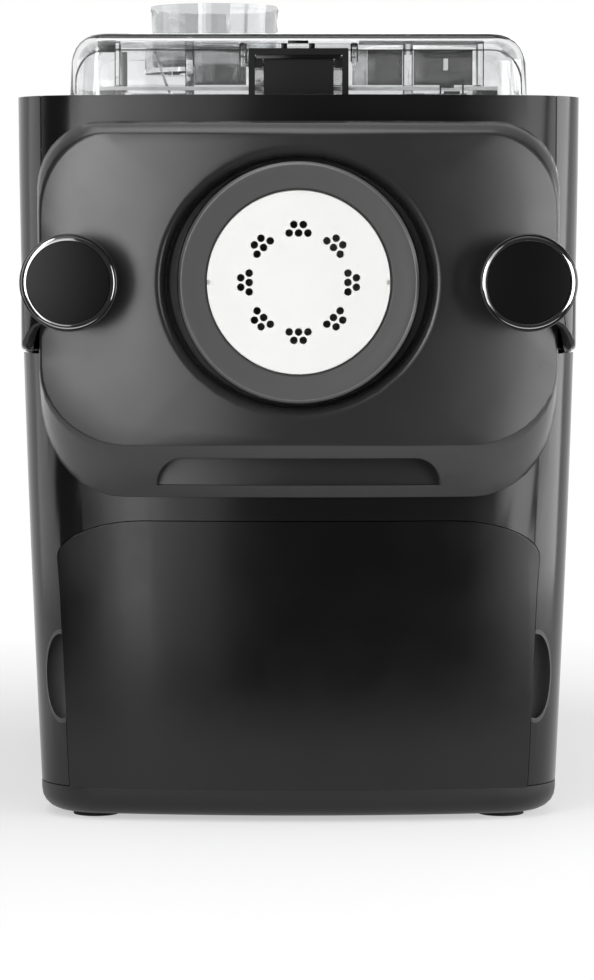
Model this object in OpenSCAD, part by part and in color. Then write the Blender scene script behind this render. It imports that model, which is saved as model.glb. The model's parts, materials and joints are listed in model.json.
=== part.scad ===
// Electric pasta maker. Millimetres, +Z up, front faces -Y.
// The origin is at the middle of the footprint, on the surface the machine stands on.

/* [Body] */
// Overall length, from the knob faces to the rear panel
total_l = 400; // [380:1:430]
// Width of the body at its top
body_w = 242; // [238:1:250]
// How far each side leans in down to the base
body_taper = 9.6; // [8:0.2:14]
// Height of the top deck
body_h = 310; // [306:1:314]
// Radius of the bulged front in plan
front_r = 520; // [480:5:700]
// Radius of the front corners in plan
corner_r = 30; // [28:1:32]
// Radius of the rear corners in plan
rear_corner_r = 22; // [16:1:30]
// Wall of the outer mouldings
wall = 3; // [2.5:0.1:3.5]
// Gap between neighbouring outer mouldings
seam = 0.4; // [0.3:0.1:0.6]
// Height of the base pan's upper edge
base_h = 14.2; // [13:0.2:18]
// Rounding of the base pan's lower edge
base_round = 9; // [6:0.5:10]
// Radius of a rubber foot
foot_r = 10; // [8:0.5:12]
// Height of a rubber foot below the base pan
foot_h = 2; // [1.5:0.1:3]

/* [Front cover] */
// How far the cover's rim stops short of the body's side
cover_margin = 11; // [10.5:0.5:13]
// Height of the cover
cover_l = 159.1; // [156:0.1:162]
// Distance of the cover's upper edge below the deck
cover_drop = 11.2; // [9:0.1:14]
// Width of the cover's lower corners
cover_rx = 36; // [32:1:40]
// Width of the cover's upper corners
cover_rx_top = 27; // [25:1:31]
// Height of the cover's upper corners
cover_rz_top = 27; // [25:1:31]
// Height of the cover's lower corners
cover_rz_low = 41; // [36:1:44]
// Distance from the cover's upper edge down to its face
face_drop = 5.2; // [4:0.2:7]
// How far the cover stands out from the fascia
cover_depth = 24; // [22:0.5:26]
// Height of the slanted band along the cover's lower edge
band_h = 22; // [20:0.5:24]
// Wall of the cover
cover_wall = 2.5; // [2:0.1:3]
// Half width of the finger recess in the band
recess_hw = 60; // [50:1:70]
// Height of the finger recess
recess_h = 12; // [10:0.5:13]
// Radius of the round channel at the sides
channel_rx = 55.5; // [55:0.5:58]
// Radius of the round channel at top and bottom
channel_rz = 52.4; // [52:0.1:54]
// Depth of the round channel
channel_d = 15; // [12:0.5:17]

/* [Extrusion] */
// Distance of the extrusion axis below the deck
axis_drop = 79; // [77:0.5:81]
// Outer radius of the ring nut
nut_r = 50.2; // [49.5:0.1:50.6]
// Radius of the ring nut's opening
nut_open_r = 38.4; // [37:0.2:39.5]
// Length of the ring nut
nut_l = 24; // [22:0.5:26]
// How far the ring nut stands out from the cover
nut_proud = 6; // [4:0.5:8]
// Radius of the shaping disc's flange
disc_r = 42; // [41:0.2:42.2]
// Thickness of the shaping disc's flange
disc_t = 5; // [4.5:0.5:6]
// Radius of one pasta hole
hole_r = 1.6; // [1.2:0.1:1.7]
// Groups of pasta holes
hole_groups = 8; // [6:1:8]
// Bore radius of the extrusion tube
tube_r = 27; // [26:0.5:28]
// Wall of the extrusion tube
tube_wall = 3; // [2.5:0.5:3.5]
// Radius of the screw's core
core_r = 10; // [9:0.5:12]
// Pitch of the screw's flight
screw_pitch = 26; // [24:1:30]
// Radius of the output shaft
shaft_r = 6; // [5:0.5:7]
// Running clearance of round fits
run_gap = 0.05; // [0.02:0.01:0.1]
// Clearance of the screw flight and paddle
sweep_gap = 0.6; // [0.4:0.1:1]

/* [Mixing bowl] */
// Radius of the bowl's round bottom
bowl_r = 62; // [60:1:63]
// How far the bowl's top stops short of the lid's side
bowl_margin = 20.3; // [18:0.1:22]
// Wall of the bowl
bowl_wall = 3; // [2.5:0.5:3.5]
// Distance of the bowl's inside behind the fascia
bowl_inset = 28.2; // [27:0.1:30]
// Distance of the bowl's inside before the bulkhead
bowl_behind = 16; // [14:0.5:20]

/* [Lid] */
// How far the lid stops short of the body's side
lid_margin = 22.7; // [21:0.1:25]
// Height of the lid above the deck
lid_h = 29.2; // [27:0.2:31]
// How far the lid reaches past the bowl's inside, at the front and at the rear
lid_over = 10; // [9.5:0.5:12]
// Wall of the lid
lid_wall = 2.6; // [2.2:0.1:3]
// Radius of the lid's shoulders
shoulder_r = 12; // [9:0.5:14]
// Half width of the black handle arch
arch_hw = 21.3; // [20:0.2:23]
// Width of the arch's bars
arch_bar = 2.7; // [2.2:0.1:3.2]
// Half width of the latch paddle
latch_hw = 14.9; // [13:0.5:15.5]
// Outer radius of the measuring cup
cup_r = 29; // [27:0.5:30]
// Height of the measuring cup
cup_h = 28; // [26:0.5:32]
// Offset of the cup from the middle
cup_x = -37.7; // [-40:0.5:-36]

/* [Drawer] */
// Height of the strip between the drawer front and the cover
drawer_strip = 10.5; // [9:0.5:13]
// How far the drawer front stops short of the body's side
drawer_margin = 13.8; // [13:0.2:15]
// Width of the drawer front's upper corners
drawer_rx = 38; // [34:1:42]
// Height of the drawer front's upper corners
drawer_rz = 16; // [13:1:18]
// How far the drawer tub stops short of the body's side
tub_margin = 33; // [31:1:37]
// Space between the drawer tub and the bulkhead
tub_gap = 19.2; // [18:0.1:40]
// Wall of the drawer tub
tub_wall = 2.4; // [2:0.1:3]
// Length of a finger scoop
scoop_h = 38; // [30:1:42]
// Height of the finger scoops' middle
scoop_z = 62; // [58:1:70]

/* [Clamp arms] */
// How far the knobs' middles stop short of the cover's rim
knob_in = 15.2; // [14:0.2:17]
// Radius of a knob's rim
knob_r = 19.1; // [17:0.2:20]
// Width of the bevelled rim
knob_rim = 1.8; // [1.4:0.1:2.4]
// Length of a knob
knob_l = 11; // [9:0.5:13]
// Length of the neck between arm and knob
neck_l = 6; // [5:0.2:7]
// Thickness of the arm behind the knob
arm_t = 6.2; // [5.6:0.2:6.6]
// Radius of the round tab behind the knob
tab_r = 16.5; // [15:0.5:17]
// Gap between the closed arm and the cover
arm_gap = 0.5; // [0.4:0.1:0.8]
// Radius of the arm's pad
pad_r = 7; // [6:0.5:8]
// How far the arm's pivot lies inside the body's side
pivot_in = 4.8; // [4.4:0.2:5.4]
// Distance of the arm's pivot behind the fascia
pivot_behind = 66.2; // [64:0.1:68]
// Radius of the arm's knuckle
knuckle_r = 6; // [5.5:0.1:6.2]
// Radius of the arm's hinge pin
arm_pin_r = 2.5; // [2:0.1:2.8]
// Distance of the knuckle's lower end below the extrusion axis
knuckle_drop = 29.7; // [28:0.1:32]
// Length of the knuckle
knuckle_l = 24; // [22:0.5:28]

/* [Drive] */
// Length of the drive compartment, from the bulkhead to the rear
drive_l = 154; // [150:1:158]
// Module of the motor stage
mod_1 = 1.5; // [1.4:0.1:1.6]
// Module of the output stage
mod_2 = 2; // [1.9:0.05:2.05]
// Teeth of the motor pinion
teeth_a = 12; // [11:1:14]
// Teeth of the big idler gear
teeth_b = 60; // [56:1:62]
// Teeth of the idler pinion
teeth_c = 13; // [12:1:14]
// Teeth of the output gear
teeth_d = 52; // [50:1:53]
// Width of a gear
gear_w = 8; // [7:0.5:9]
// Radius of the motor
motor_r = 38; // [34:1:40]
// Length of the motor
motor_l = 78; // [70:1:84]
// Radius of the idler shaft
idler_r = 4; // [3:0.5:5]

/* [Controls] */
// Half width of the control panel
panel_hw = 62; // [58:1:70]
// Length of the control panel
panel_l = 66; // [62:1:72]
// Distance of the control panel's middle from the rear
panel_behind = 70; // [64:1:74]
// Radius of the large buttons
big_button_r = 9; // [8:0.5:10]
// Radius of the small buttons
small_button_r = 6.5; // [5.5:0.5:7.5]
// Travel of a button
button_travel = 1.5; // [1:0.1:2]

/* [Hidden] */
$fn = 64;
eps = 0.01;
plate_t = 4;

// ---- Places that line the pieces up ----
cover_hw = body_w / 2 - cover_margin;
cover_high = body_h - cover_drop;
cover_low = cover_high - cover_l;
axis_z = body_h - axis_drop;
drawer_high = cover_low - drawer_strip;
lid_hw = body_w / 2 - lid_margin;
bowl_hw = lid_hw - bowl_margin;
tub_hw = body_w / 2 - tub_margin;
knob_x = cover_hw - knob_in;
pivot_x = body_w / 2 - pivot_in;
knuckle_z = axis_z - knuckle_drop;

// Bulge of the front at a distance x from the middle
function bulge(x) = x * x / (2 * front_r);
// Front plane of the fascia, so that the knob faces end the overall length
front_y = total_l / 2 + bulge(knob_x - tab_r) - cover_depth - arm_gap - arm_t - neck_l - knob_l;
back_y = total_l / 2;
pivot_y = -front_y + pivot_behind;
panel_y = back_y - panel_behind;
shell_z = base_h + seam;
base_z = foot_h;

// Half width of the body at a height
function half_w(z) = body_w / 2 - body_taper * pow(max(0, body_h - z) / body_h, 1.6);

// Smooth ramp from 0 to 1
function ramp(t) = t <= 0 ? 0 : t >= 1 ? 1 : t * t * (3 - 2 * t);
function mix(a, b, t) = a + (b - a) * t;
function flat(rings) = [for (ring = rings) for (p = ring) p];

// Front corner of the plan outline: where the arc starts, its middle and its first angle
function turn_x(w) = (w - corner_r) / (1 - corner_r / front_r);
function turn_a(w) = atan(turn_x(w) / front_r);
function turn_c(w) = [turn_x(w) - corner_r * sin(turn_a(w)),
                      -front_y + bulge(turn_x(w)) + corner_r * cos(turn_a(w))];

// Body surface at the front, at x on a level of half width w
function front_at(x, w) = abs(x) <= turn_x(w) ? -front_y + bulge(x)
    : turn_c(w)[1] - sqrt(max(0, pow(corner_r, 2) - pow(abs(x) - turn_c(w)[0], 2)));

// Plan outline of the body at half width w, moved in by an inset
front_steps = 20;
corner_steps = 8;
function arc_pts(c, r, a0, a1, n, from = 0, to = 0) =
    [for (k = [from:n - to]) [c[0] + r * cos(mix(a0, a1, k / n)), c[1] + r * sin(mix(a0, a1, k / n))]];
function oval_pts(c, r, a0, a1, n, from = 0, to = 0) =
    [for (k = [from:n - to]) let (a = mix(a0, a1, k / n)) [c[0] + r[0] * cos(a), c[1] + r[1] * sin(a)]];
function plan(w, inset = 0) = concat(
    [for (k = [0:front_steps])
        let (x = mix(-turn_x(w), turn_x(w), k / front_steps), a = atan(x / front_r))
        [x - inset * sin(a), -front_y + bulge(x) + inset * cos(a)]],
    arc_pts(turn_c(w), corner_r - inset, turn_a(w) - 90, 0, corner_steps, 1),
    arc_pts([w - rear_corner_r, back_y - rear_corner_r], rear_corner_r - inset, 0, 90, corner_steps),
    arc_pts([rear_corner_r - w, back_y - rear_corner_r], rear_corner_r - inset, 90, 180, corner_steps),
    arc_pts([-turn_c(w)[0], turn_c(w)[1]], corner_r - inset, 180, 270 - turn_a(w), corner_steps, 0, 1));
function lift(path, z) = [for (p = path) [p[0], p[1], z]];

// Closed solid through a stack of rings, with strip caps at both ends
function strip(n, o, up) = [for (i = [0:floor((n + 1) / 2) - 2]) for (t = concat(
    [up ? [n - 1 - i, i + 1, i] : [i, i + 1, n - 1 - i]],
    i + 1 == n - 2 - i ? [] : [up ? [n - 1 - i, n - 2 - i, i + 1] : [i + 1, n - 2 - i, n - 1 - i]]))
    [for (v = t) v + o]];
module skin(rings) {
    n = len(rings[0]);
    m = len(rings);
    polyhedron(points = flat(rings), faces = concat(
        [for (i = [0:m - 2]) for (j = [0:n - 1]) [i * n + j, (i + 1) * n + j, (i + 1) * n + (j + 1) % n]],
        [for (i = [0:m - 2]) for (j = [0:n - 1])
            [i * n + j, (i + 1) * n + (j + 1) % n, i * n + (j + 1) % n]],
        strip(n, 0, false), strip(n, (m - 1) * n, true)));
}

// Closed ring-shaped solid: the stack of rings ends where it starts
module loop_skin(rings) {
    n = len(rings[0]);
    m = len(rings);
    polyhedron(points = flat(rings), faces = concat(
        [for (i = [0:m - 1]) for (j = [0:n - 1])
            [i * n + j, (i + 1) % m * n + j, (i + 1) % m * n + (j + 1) % n]],
        [for (i = [0:m - 1]) for (j = [0:n - 1])
            [i * n + j, (i + 1) % m * n + (j + 1) % n, i * n + (j + 1) % n]]));
}

// Box from one corner to the other
module box(a, b) {
    translate(a) cube(b - a);
}

module both_sides() {
    children();
    mirror([1, 0, 0]) children();
}

// Things along the extrusion axis: local +Z points to the front, from the place y
module facing_front(y, x = 0, z = axis_z) {
    translate([x, y, z]) rotate([90, 0, 0]) children();
}

module ring(r_out, r_in, h) {
    difference() {
        cylinder(r = r_out, h = h);
        translate([0, 0, -1]) cylinder(r = r_in, h = h + 2);
    }
}

module rounded_plate(size, r, h) {
    linear_extrude(h) union() {
        square([size[0], size[1] - 2 * r], center = true);
        square([size[0] - 2 * r, size[1]], center = true);
        for (x = [-1, 1], y = [-1, 1])
            translate([x * (size[0] / 2 - r), y * (size[1] / 2 - r)]) circle(r = r);
    }
}

// ---- Places of the pieces along the length ----
cover_y = -front_y - cover_depth;
nut_face = cover_y - nut_proud;
nut_back = nut_face + nut_l;
lip_t = 5;
disc_front = nut_face + lip_t;
flange_y = disc_front + disc_t;
flange_r = disc_r + 0.9;
flange_t = 16;
bulkhead_y = back_y - drive_l;
bowl_front = -front_y + bowl_inset;
bowl_back = bulkhead_y - bowl_behind;
plate_y = bulkhead_y + plate_t;
gear_y = plate_y + plate_t + 1.5;
gear_step = gear_w + 1.5;
rear_plate_y = gear_y + 2 * gear_step + 0.5;
motor_y = rear_plate_y + plate_t;
centre_1 = mod_1 * (teeth_a + teeth_b) / 2;
centre_2 = mod_2 * (teeth_c + teeth_d) / 2;
idler_angle = -50;
motor_angle = 196;
idler_x = centre_2 * cos(idler_angle);
idler_z = axis_z + centre_2 * sin(idler_angle);
motor_x = idler_x + centre_1 * cos(motor_angle);
motor_z = idler_z + centre_1 * sin(motor_angle);
floor_z = drawer_high + 3;
floor_t = 3;
fascia_hw = cover_hw - 0.5;
fascia_z = cover_low + 38;
fascia_back = -front_y + 48;
lid_front = bowl_front - lid_over;
lid_back = bowl_back + lid_over;
hinge_y = lid_back + 5.5;
hinge_z = body_h + 5;
hinge_r = 4.4;
cup_y = (lid_front + lid_back) / 2;
cup_z = body_h + lid_h - cup_h + 14.4;

// ---- Outer mouldings ----
module body_block(inset, z0, z1, levels) {
    skin([for (k = [0:levels]) let (z = mix(z0, z1, k / levels)) lift(plan(half_w(z), inset), z)]);
}

shell_levels = 9;
module body_tube(z0, z1) {
    loop_skin(concat(
        [for (k = [0:shell_levels]) let (z = mix(z0, z1, k / shell_levels)) lift(plan(half_w(z), 0), z)],
        [for (k = [shell_levels:-1:0])
            let (z = mix(z0, z1, k / shell_levels)) lift(plan(half_w(z), wall), z)]));
}

// Outline of the drawer front, seen from the front, grown by a gap
drawer_steps = 6;
function drawer_hw(z) = half_w(z) - drawer_margin;
function drawer_outline(grow) =
    let (r = [drawer_rx + grow, drawer_rz + grow],
         c = [drawer_hw(drawer_high) + grow - r[0], drawer_high + grow - r[1]],
         right = [for (k = [0:drawer_steps - 1])
             let (z = mix(base_h - grow, c[1], k / drawer_steps)) [drawer_hw(z) + grow, z]],
         half = concat(right, oval_pts(c, r, 0, 90, 12)))
    concat(half, [for (i = [len(half) - 1:-1:0]) [-half[i][0], half[i][1]]]);

module drawer_prism(grow, y0, y1) {
    translate([0, y1, 0]) rotate([90, 0, 0]) linear_extrude(y1 - y0) polygon(drawer_outline(grow));
}

// Slab that follows the bulged front, between two depths behind it
module front_slab(d0, d1, z0, z1, hw) {
    xs = [for (k = [0:front_steps]) mix(-hw, hw, k / front_steps)];
    translate([0, 0, z0]) linear_extrude(z1 - z0) polygon(concat(
        [for (x = xs) [x, -front_y + bulge(x) + d0]], [for (x = xs) [-x, -front_y + bulge(x) + d1]]));
}

// Finger scoop beside the drawer: half of a long oval hollow
scoop_d = 10;
scoop_w = 8.5;
module scoop(grow) {
    x = drawer_hw(scoop_z) + seam;
    y = front_at(x + scoop_w / 2, half_w(scoop_z));
    intersection() {
        box([x - 3, y - 2 * scoop_d, scoop_z - scoop_h],
            [x + 2 * scoop_w, y + 2 * scoop_d, scoop_z + scoop_h]);
        translate([x, y, scoop_z])
            scale([scoop_w + grow, scoop_d + grow, scoop_h / 2 + grow]) sphere(r = 1, $fn = 40);
    }
}

pocket_low = knuckle_z - 10.3;
pocket_high = knuckle_z + knuckle_l + 10.3;
channel_x = pivot_x - 5.6;
pocket_depth = 8;
pocket_before = 9;
pocket_behind = 8;
channel_over = 0.8;
module arm_pocket(grow) {
    box([channel_x - pocket_depth, pivot_y - pocket_before - grow, pocket_low - grow],
        [body_w, pivot_y + pocket_behind + grow, pocket_high + grow]);
    box([channel_x, pivot_y - 54, knuckle_z - channel_over - grow],
        [body_w, pivot_y - pocket_behind, knuckle_z + knuckle_l + channel_over + grow]);
}

vent_hw = body_w / 2 - 29;
rear_low = 30;
rear_high = body_h - 19;
module outer_shell() {
    color("#26262a") difference() {
        union() {
            body_tube(shell_z, body_h);
            intersection() {
                both_sides() scoop(2);
                body_block(0.6, scoop_z - scoop_h / 2 - 4, scoop_z + scoop_h / 2 + 4, 1);
            }
        }
        both_sides() scoop(0);
        drawer_prism(seam, -front_y - 20, -front_y + 18);
        box([-fascia_hw - seam, -front_y - 5, fascia_z - seam],
            [fascia_hw + seam, fascia_back, body_h + 1]);
        both_sides() arm_pocket(seam - 0.1);
        box([-vent_hw - seam, back_y - 6, rear_low - seam], [vent_hw + seam, back_y + 6, rear_high + seam]);
    }
}

fascia_hole = 46;
module front_frame() {
    color("#26262a") difference() {
        intersection() {
            body_tube(fascia_z, body_h);
            box([-fascia_hw, -front_y - 5, fascia_z - 1], [fascia_hw, fascia_back, body_h + 1]);
        }
        facing_front(0) cylinder(r = fascia_hole, h = front_y + 10);
    }
}

deck_gap = 0.3;
deck_t = 3;
bowl_cut_y = bowl_back + 6;
module hinge_ear(x0, x1) {
    box([x0, hinge_y - hinge_r, body_h - eps], [x1, hinge_y + hinge_r, hinge_z]);
    translate([x0, hinge_y, hinge_z]) rotate([0, 90, 0]) cylinder(r = hinge_r, h = x1 - x0);
}
lid_pin_r = 1.8;
ear_in = lid_hw - 46.3;
knuckle_in = ear_in + 8.4;
knuckle_out = knuckle_in + 16;
ear_out = knuckle_out + 8.4;
module top_deck() {
    color("#2a2a2e") difference() {
        union() {
            body_block(wall + deck_gap, body_h - deck_t, body_h, 1);
            both_sides() {
                hinge_ear(ear_in, knuckle_in - 0.4);
                hinge_ear(knuckle_out + 0.4, ear_out);
            }
        }
        box([-bowl_hw - 2, lid_front + 6, body_h - 10], [bowl_hw + 2, bowl_cut_y, body_h + 1]);
        translate([0, panel_y, body_h - 10]) rounded_plate([2 * panel_hw + 0.4, panel_l + 0.4], 8.2, 20);
        translate([-ear_out - 1, hinge_y, hinge_z]) rotate([0, 90, 0])
            cylinder(r = lid_pin_r, h = 2 * ear_out + 2);
    }
}

base_steps = 5;
base_floor = 3;
module base_pan() {
    outer = [for (k = [0:base_steps]) let (a = 90 * k / base_steps)
        lift(plan(half_w(base_h), base_round * (1 - sin(a))), base_z + base_round * (1 - cos(a)))];
    color("#202024") difference() {
        union() {
            skin(concat(outer, [lift(plan(half_w(base_h)), base_h),
                lift(plan(half_w(base_h), wall), base_h),
                lift(plan(half_w(base_h), wall), base_z + base_round),
                lift(plan(half_w(base_h), base_round), base_z + base_floor)]));
            foot_places() translate([0, 0, base_z + base_floor - 1]) cylinder(r = 5, h = 7);
        }
        foot_places() translate([0, 0, base_z - 1]) cylinder(r = screw_r, h = 20);
    }
}

foot_x = tub_hw;
screw_r = 2;
head_r = 3.6;
module foot_places() {
    for (x = [-foot_x, foot_x], y = [-front_y + 30, back_y - 26]) translate([x, y, 0]) children();
}

module rubber_feet() {
    color("#18181a") foot_places() difference() {
        cylinder(r = foot_r, h = foot_h);
        translate([0, 0, -1]) cylinder(r = 4.5, h = foot_h + 2);
    }
}

module housing_screws() {
    color("silver") {
        foot_places() {
            translate([0, 0, base_z - 1.8]) cylinder(r = 4, h = 1.8);
            cylinder(r = screw_r, h = base_z + 10);
        }
        rear_screw_places() {
            facing_front(back_y - 1.5) cylinder(r = screw_r, h = wall + 5);
            facing_front(back_y - 0.1) cylinder(r = head_r, h = 1.5);
        }
    }
}

module rear_screw_places() {
    for (x = [-vent_hw + 8, vent_hw - 8], z = [rear_low + 8, rear_high - 8])
        translate([x, 0, z - axis_z]) children();
}

vent_rows = 9;
vent_pitch = 9;
inlet_x = vent_hw - 32;
inlet_z = 52;
module rear_panel() {
    color("#202024") difference() {
        union() {
            box([-vent_hw, back_y - wall, rear_low], [vent_hw, back_y, rear_high]);
            rear_screw_places() facing_front(back_y - wall + eps) cylinder(r = 5, h = 8);
            for (x = [-vent_hw + 3, vent_hw - 6])
                box([x, back_y - 12, rear_low + 20], [x + 3, back_y - wall + eps, rear_high - 20]);
        }
        for (k = [0:vent_rows - 1])
            box([motor_x - 40, back_y - 9, motor_z - 38 + k * vent_pitch],
                [motor_x + 40, back_y + 1, motor_z - 38 + k * vent_pitch + 4]);
        rear_screw_places() {
            facing_front(back_y + 1) cylinder(r = screw_r, h = 9 + wall);
            facing_front(back_y + 1) cylinder(r = head_r, h = 2.6);
        }
        facing_front(back_y + 1, inlet_x, inlet_z) cylinder(r = 8, h = wall + 2);
    }
}

module cord_inlet() {
    color("#141416") facing_front(back_y, inlet_x, inlet_z) difference() {
        union() {
            cylinder(r = 8, h = wall);
            translate([0, 0, wall]) cylinder(r = 11, h = 3);
            translate([0, 0, wall + 3 - eps]) cylinder(r = 6, h = 9);
        }
        translate([0, 0, -1]) cylinder(r = 3.6, h = 20);
    }
}

// ---- Front cover ----
edge_n = 10;
arc_n = 9;
// From -1 to 1, closer together in the middle, so that round rings get even steps
function spread(k) = tan(mix(-50, 50, k / edge_n)) / tan(50);
// Outline of the cover: half width, lower and upper edge, width and height of the lower corners,
// width and height of the upper ones
function cover_ring(a, z0, z1, r, low, r_top, top) =
    let (x = a - r, x_top = a - r_top, b = z0 + low, t = z1 - top, m = (b + t) / 2, h = (t - b) / 2) concat(
    [for (k = [0:edge_n - 1]) [x * spread(k), z0]],
    oval_pts([x, b], [r, low], -90, 0, arc_n, 0, 1),
    [for (k = [0:edge_n - 1]) [a, m + h * spread(k)]],
    oval_pts([x_top, t], [r_top, top], 0, 90, arc_n, 0, 1),
    [for (k = [0:edge_n - 1]) [-x_top * spread(k), z1]],
    oval_pts([-x_top, t], [r_top, top], 90, 180, arc_n, 0, 1),
    [for (k = [0:edge_n - 1]) [-a, m - h * spread(k)]],
    oval_pts([-x, b], [r, low], 180, 270, arc_n, 0, 1));

// Ring on the round channel, with one point on the ray of each point of the face ring
function round_ring(face, rx, rz) = [for (p = face)
    let (a = atan2((p[1] - axis_z) / rz, p[0] / rx)) [rx * cos(a), axis_z + rz * sin(a)]];
function blend_ring(a, b, t) = [for (i = [0:len(a) - 1]) mix(a[i], b[i], t)];
// A ring at a height p over the bulged front
function stand(ring, p) = [for (q = ring) [q[0], -front_y - p + bulge(q[0]), q[1]]];
// A ring on the cover's flank: one height in its lower half, another in its upper half
flank_turn = 40;
function flank(ring, low, high) = [for (q = ring)
    let (t = min(1, max(0, (q[1] - axis_z) / flank_turn + 0.5)))
    [q[0], -front_y - mix(low, high, t) + bulge(q[0]), q[1]]];
// A ring seated on the body's front
function seat(ring, gap) = [for (q = ring) [q[0], front_at(q[0], half_w(q[1])) - gap, q[1]]];

face_low = cover_low + band_h;
face_high = cover_high - face_drop;
face_rx_top = cover_rx_top + 2;
face_rz_top = cover_rz_top + 6;
face_rz_low = cover_rz_low - 8;
lip_w = 5;
cover_hole = nut_r + 0.9;
channel_floor = cover_depth - channel_d;
cover_gap = 0.5;
// The lower flank is one long slope from the foot; the upper one ends in a round bevel
flank_foot = 4.5;
flank_end = cover_depth - 2.6;
bevel_d = 6.4;
// Outline at a distance inside the face's edge
function face_ring(inset) = cover_ring(cover_hw - 1 - inset, face_low + inset, face_high - inset,
                                       cover_rx, face_rz_low, face_rx_top, face_rz_top);
module front_cover() {
    outline = cover_ring(cover_hw, cover_low, cover_high, cover_rx, cover_rz_low,
                         cover_rx_top, cover_rz_top);
    edge = face_ring(0);
    face = face_ring(1.4);
    lip = round_ring(face, channel_rx + lip_w, channel_rz + lip_w);
    inner = face_ring(5);
    inner_foot = cover_ring(cover_hw - 2.8, face_low + 2, cover_high - 3.2,
                            cover_rx, face_rz_low, cover_rx_top, cover_rz_top);
    back_lip = round_ring(inner, channel_rx + lip_w - 1, channel_rz + lip_w - 1);
    back_channel = round_ring(inner, channel_rx + cover_wall, channel_rz + cover_wall);
    outer_rings = concat(
        [seat(outline, cover_gap), seat(outline, 2),
         flank(blend_ring(outline, edge, 0.12), flank_foot, cover_depth - bevel_d),
         flank(blend_ring(outline, edge, 0.5), (flank_foot + flank_end) / 2, cover_depth - bevel_d / 2),
         flank(blend_ring(outline, edge, 0.9), flank_end, cover_depth - 1.2),
         stand(edge, cover_depth - 0.8), stand(face, cover_depth)],
        [for (t = [0.3, 0.6, 0.85]) stand(blend_ring(face, lip, t), cover_depth)],
        [for (a = [0:15:75]) stand(round_ring(face, channel_rx + lip_w * (1 - sin(a)),
            channel_rz + lip_w * (1 - sin(a))), cover_depth - lip_w * (1 - cos(a)))],
        [stand(round_ring(face, channel_rx - 0.4, channel_rz - 0.2), channel_floor + 2.5),
         stand(round_ring(face, channel_rx - 1.2, channel_rz - 0.7), channel_floor + 0.7),
         stand(round_ring(face, cover_hole, cover_hole), channel_floor)]);
    inner_rings = [
        stand(round_ring(inner, cover_hole, cover_hole), channel_floor - cover_wall),
        stand(back_channel, channel_floor - cover_wall),
        stand(back_channel, cover_depth - 12),
        stand(back_lip, cover_depth - cover_wall - 0.6),
        stand(inner, cover_depth - cover_wall - 0.6),
        stand(blend_ring(face_ring(2.4), inner_foot, 0.4), cover_depth - 6.5),
        seat(inner_foot, cover_gap)];
    color("#2b2b30") difference() {
        loop_skin(concat(outer_rings, inner_rings));
        finger_recess();
    }
}

recess_low = cover_low + 5.5;
recess_floor = 3.8;
recess_r = 11;
module finger_recess() {
    top = recess_low + recess_h;
    right = oval_pts([recess_hw - recess_r, recess_low], [recess_r, recess_h], 0, 90, 7);
    outline = concat(right, [for (i = [len(right) - 1:-1:0]) [-right[i][0], right[i][1]]]);
    intersection() {
        translate([0, -front_y + 20, 0]) rotate([90, 0, 0]) linear_extrude(80) polygon(outline);
        front_slab(-60, -recess_floor, recess_low - 5, top + 5, recess_hw + 10);
    }
}

gasket_r = nut_r - 4;
module cover_gasket() {
    color("#5a5a5e") facing_front(-front_y - cover_gap) ring(gasket_r + 3.4, gasket_r, gasket_t);
}
gasket_t = -front_y - cover_gap - nut_back - 0.2;

// ---- Extrusion end ----
module ring_nut() {
    color("#2c2c31") facing_front(nut_back) rotate_extrude() polygon([
        [flange_r + run_gap, 0], [nut_r - 1, 0], [nut_r, 1], [nut_r, nut_l - 1.4], [nut_r - 1.3, nut_l],
        [nut_open_r + 3, nut_l - 0.8], [nut_open_r + 0.6, nut_l - 0.9], [nut_open_r, nut_l - 1.5],
        [nut_open_r, nut_l - lip_t + 0.1], [flange_r + run_gap, nut_l - lip_t + 0.1]]);
}

disc_face = nut_face + 1.4;
centre_r = 4;
module disc_holes(n, inner_row) {
    for (k = [0:hole_groups - 1]) rotate([0, 0, 90 + k * 360 / hole_groups]) {
        for (j = [-1, 0, 1]) translate([inner_row, j * 3.9, -1]) cylinder(r = hole_r, h = n);
        for (j = [-0.5, 0.5]) translate([inner_row + 3.5, j * 3.9, -1]) cylinder(r = hole_r, h = n);
    }
}

strand_r = 20.5;
module shaping_disc() {
    color("#f4f4f2") facing_front(flange_y) difference() {
        union() {
            cylinder(r = disc_r, h = disc_t);
            cylinder(r = nut_open_r - 0.4, h = flange_y - disc_face);
        }
        disc_holes(20, strand_r);
        translate([0, 0, -1]) cylinder(r = centre_r + run_gap, h = 6);
        for (s = [-1, 1]) translate([s * (nut_open_r - 1), 0, disc_t + 2]) cylinder(r = 1, h = 10);
    }
}

shoulder_y = bowl_front - bowl_wall - 3;
module extrusion_tube() {
    color("#d8d8d6") difference() {
        union() {
            facing_front(bowl_front + 4) cylinder(r = tube_r + tube_wall, h = bowl_front + 4 - flange_y);
            facing_front(shoulder_y) cylinder(r = tube_r + tube_wall + 6, h = 4);
            facing_front(flange_y + flange_t) cylinder(r = flange_r, h = flange_t);
        }
        facing_front(bowl_front + 5) cylinder(r = tube_r, h = bowl_front - flange_y + 10);
    }
}

module tube_seal() {
    color("#8a8a8c") facing_front(bowl_front - bowl_wall)
        ring(tube_r + tube_wall + 5, tube_r + tube_wall, 3);
}

// Helical flight as one swept ribbon
flight_steps = 20;
module flight(r0, r1, t0, t1, pitch, turns) {
    n = round(flight_steps * turns);
    skin([for (k = [0:n]) let (a = 360 * turns * k / n, z = pitch * turns * k / n)
        [[r0 * cos(a), r0 * sin(a), z + t0 / 2], [r1 * cos(a), r1 * sin(a), z + t1 / 2],
         [r1 * cos(a), r1 * sin(a), z - t1 / 2], [r0 * cos(a), r0 * sin(a), z - t0 / 2]]]);
}

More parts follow.
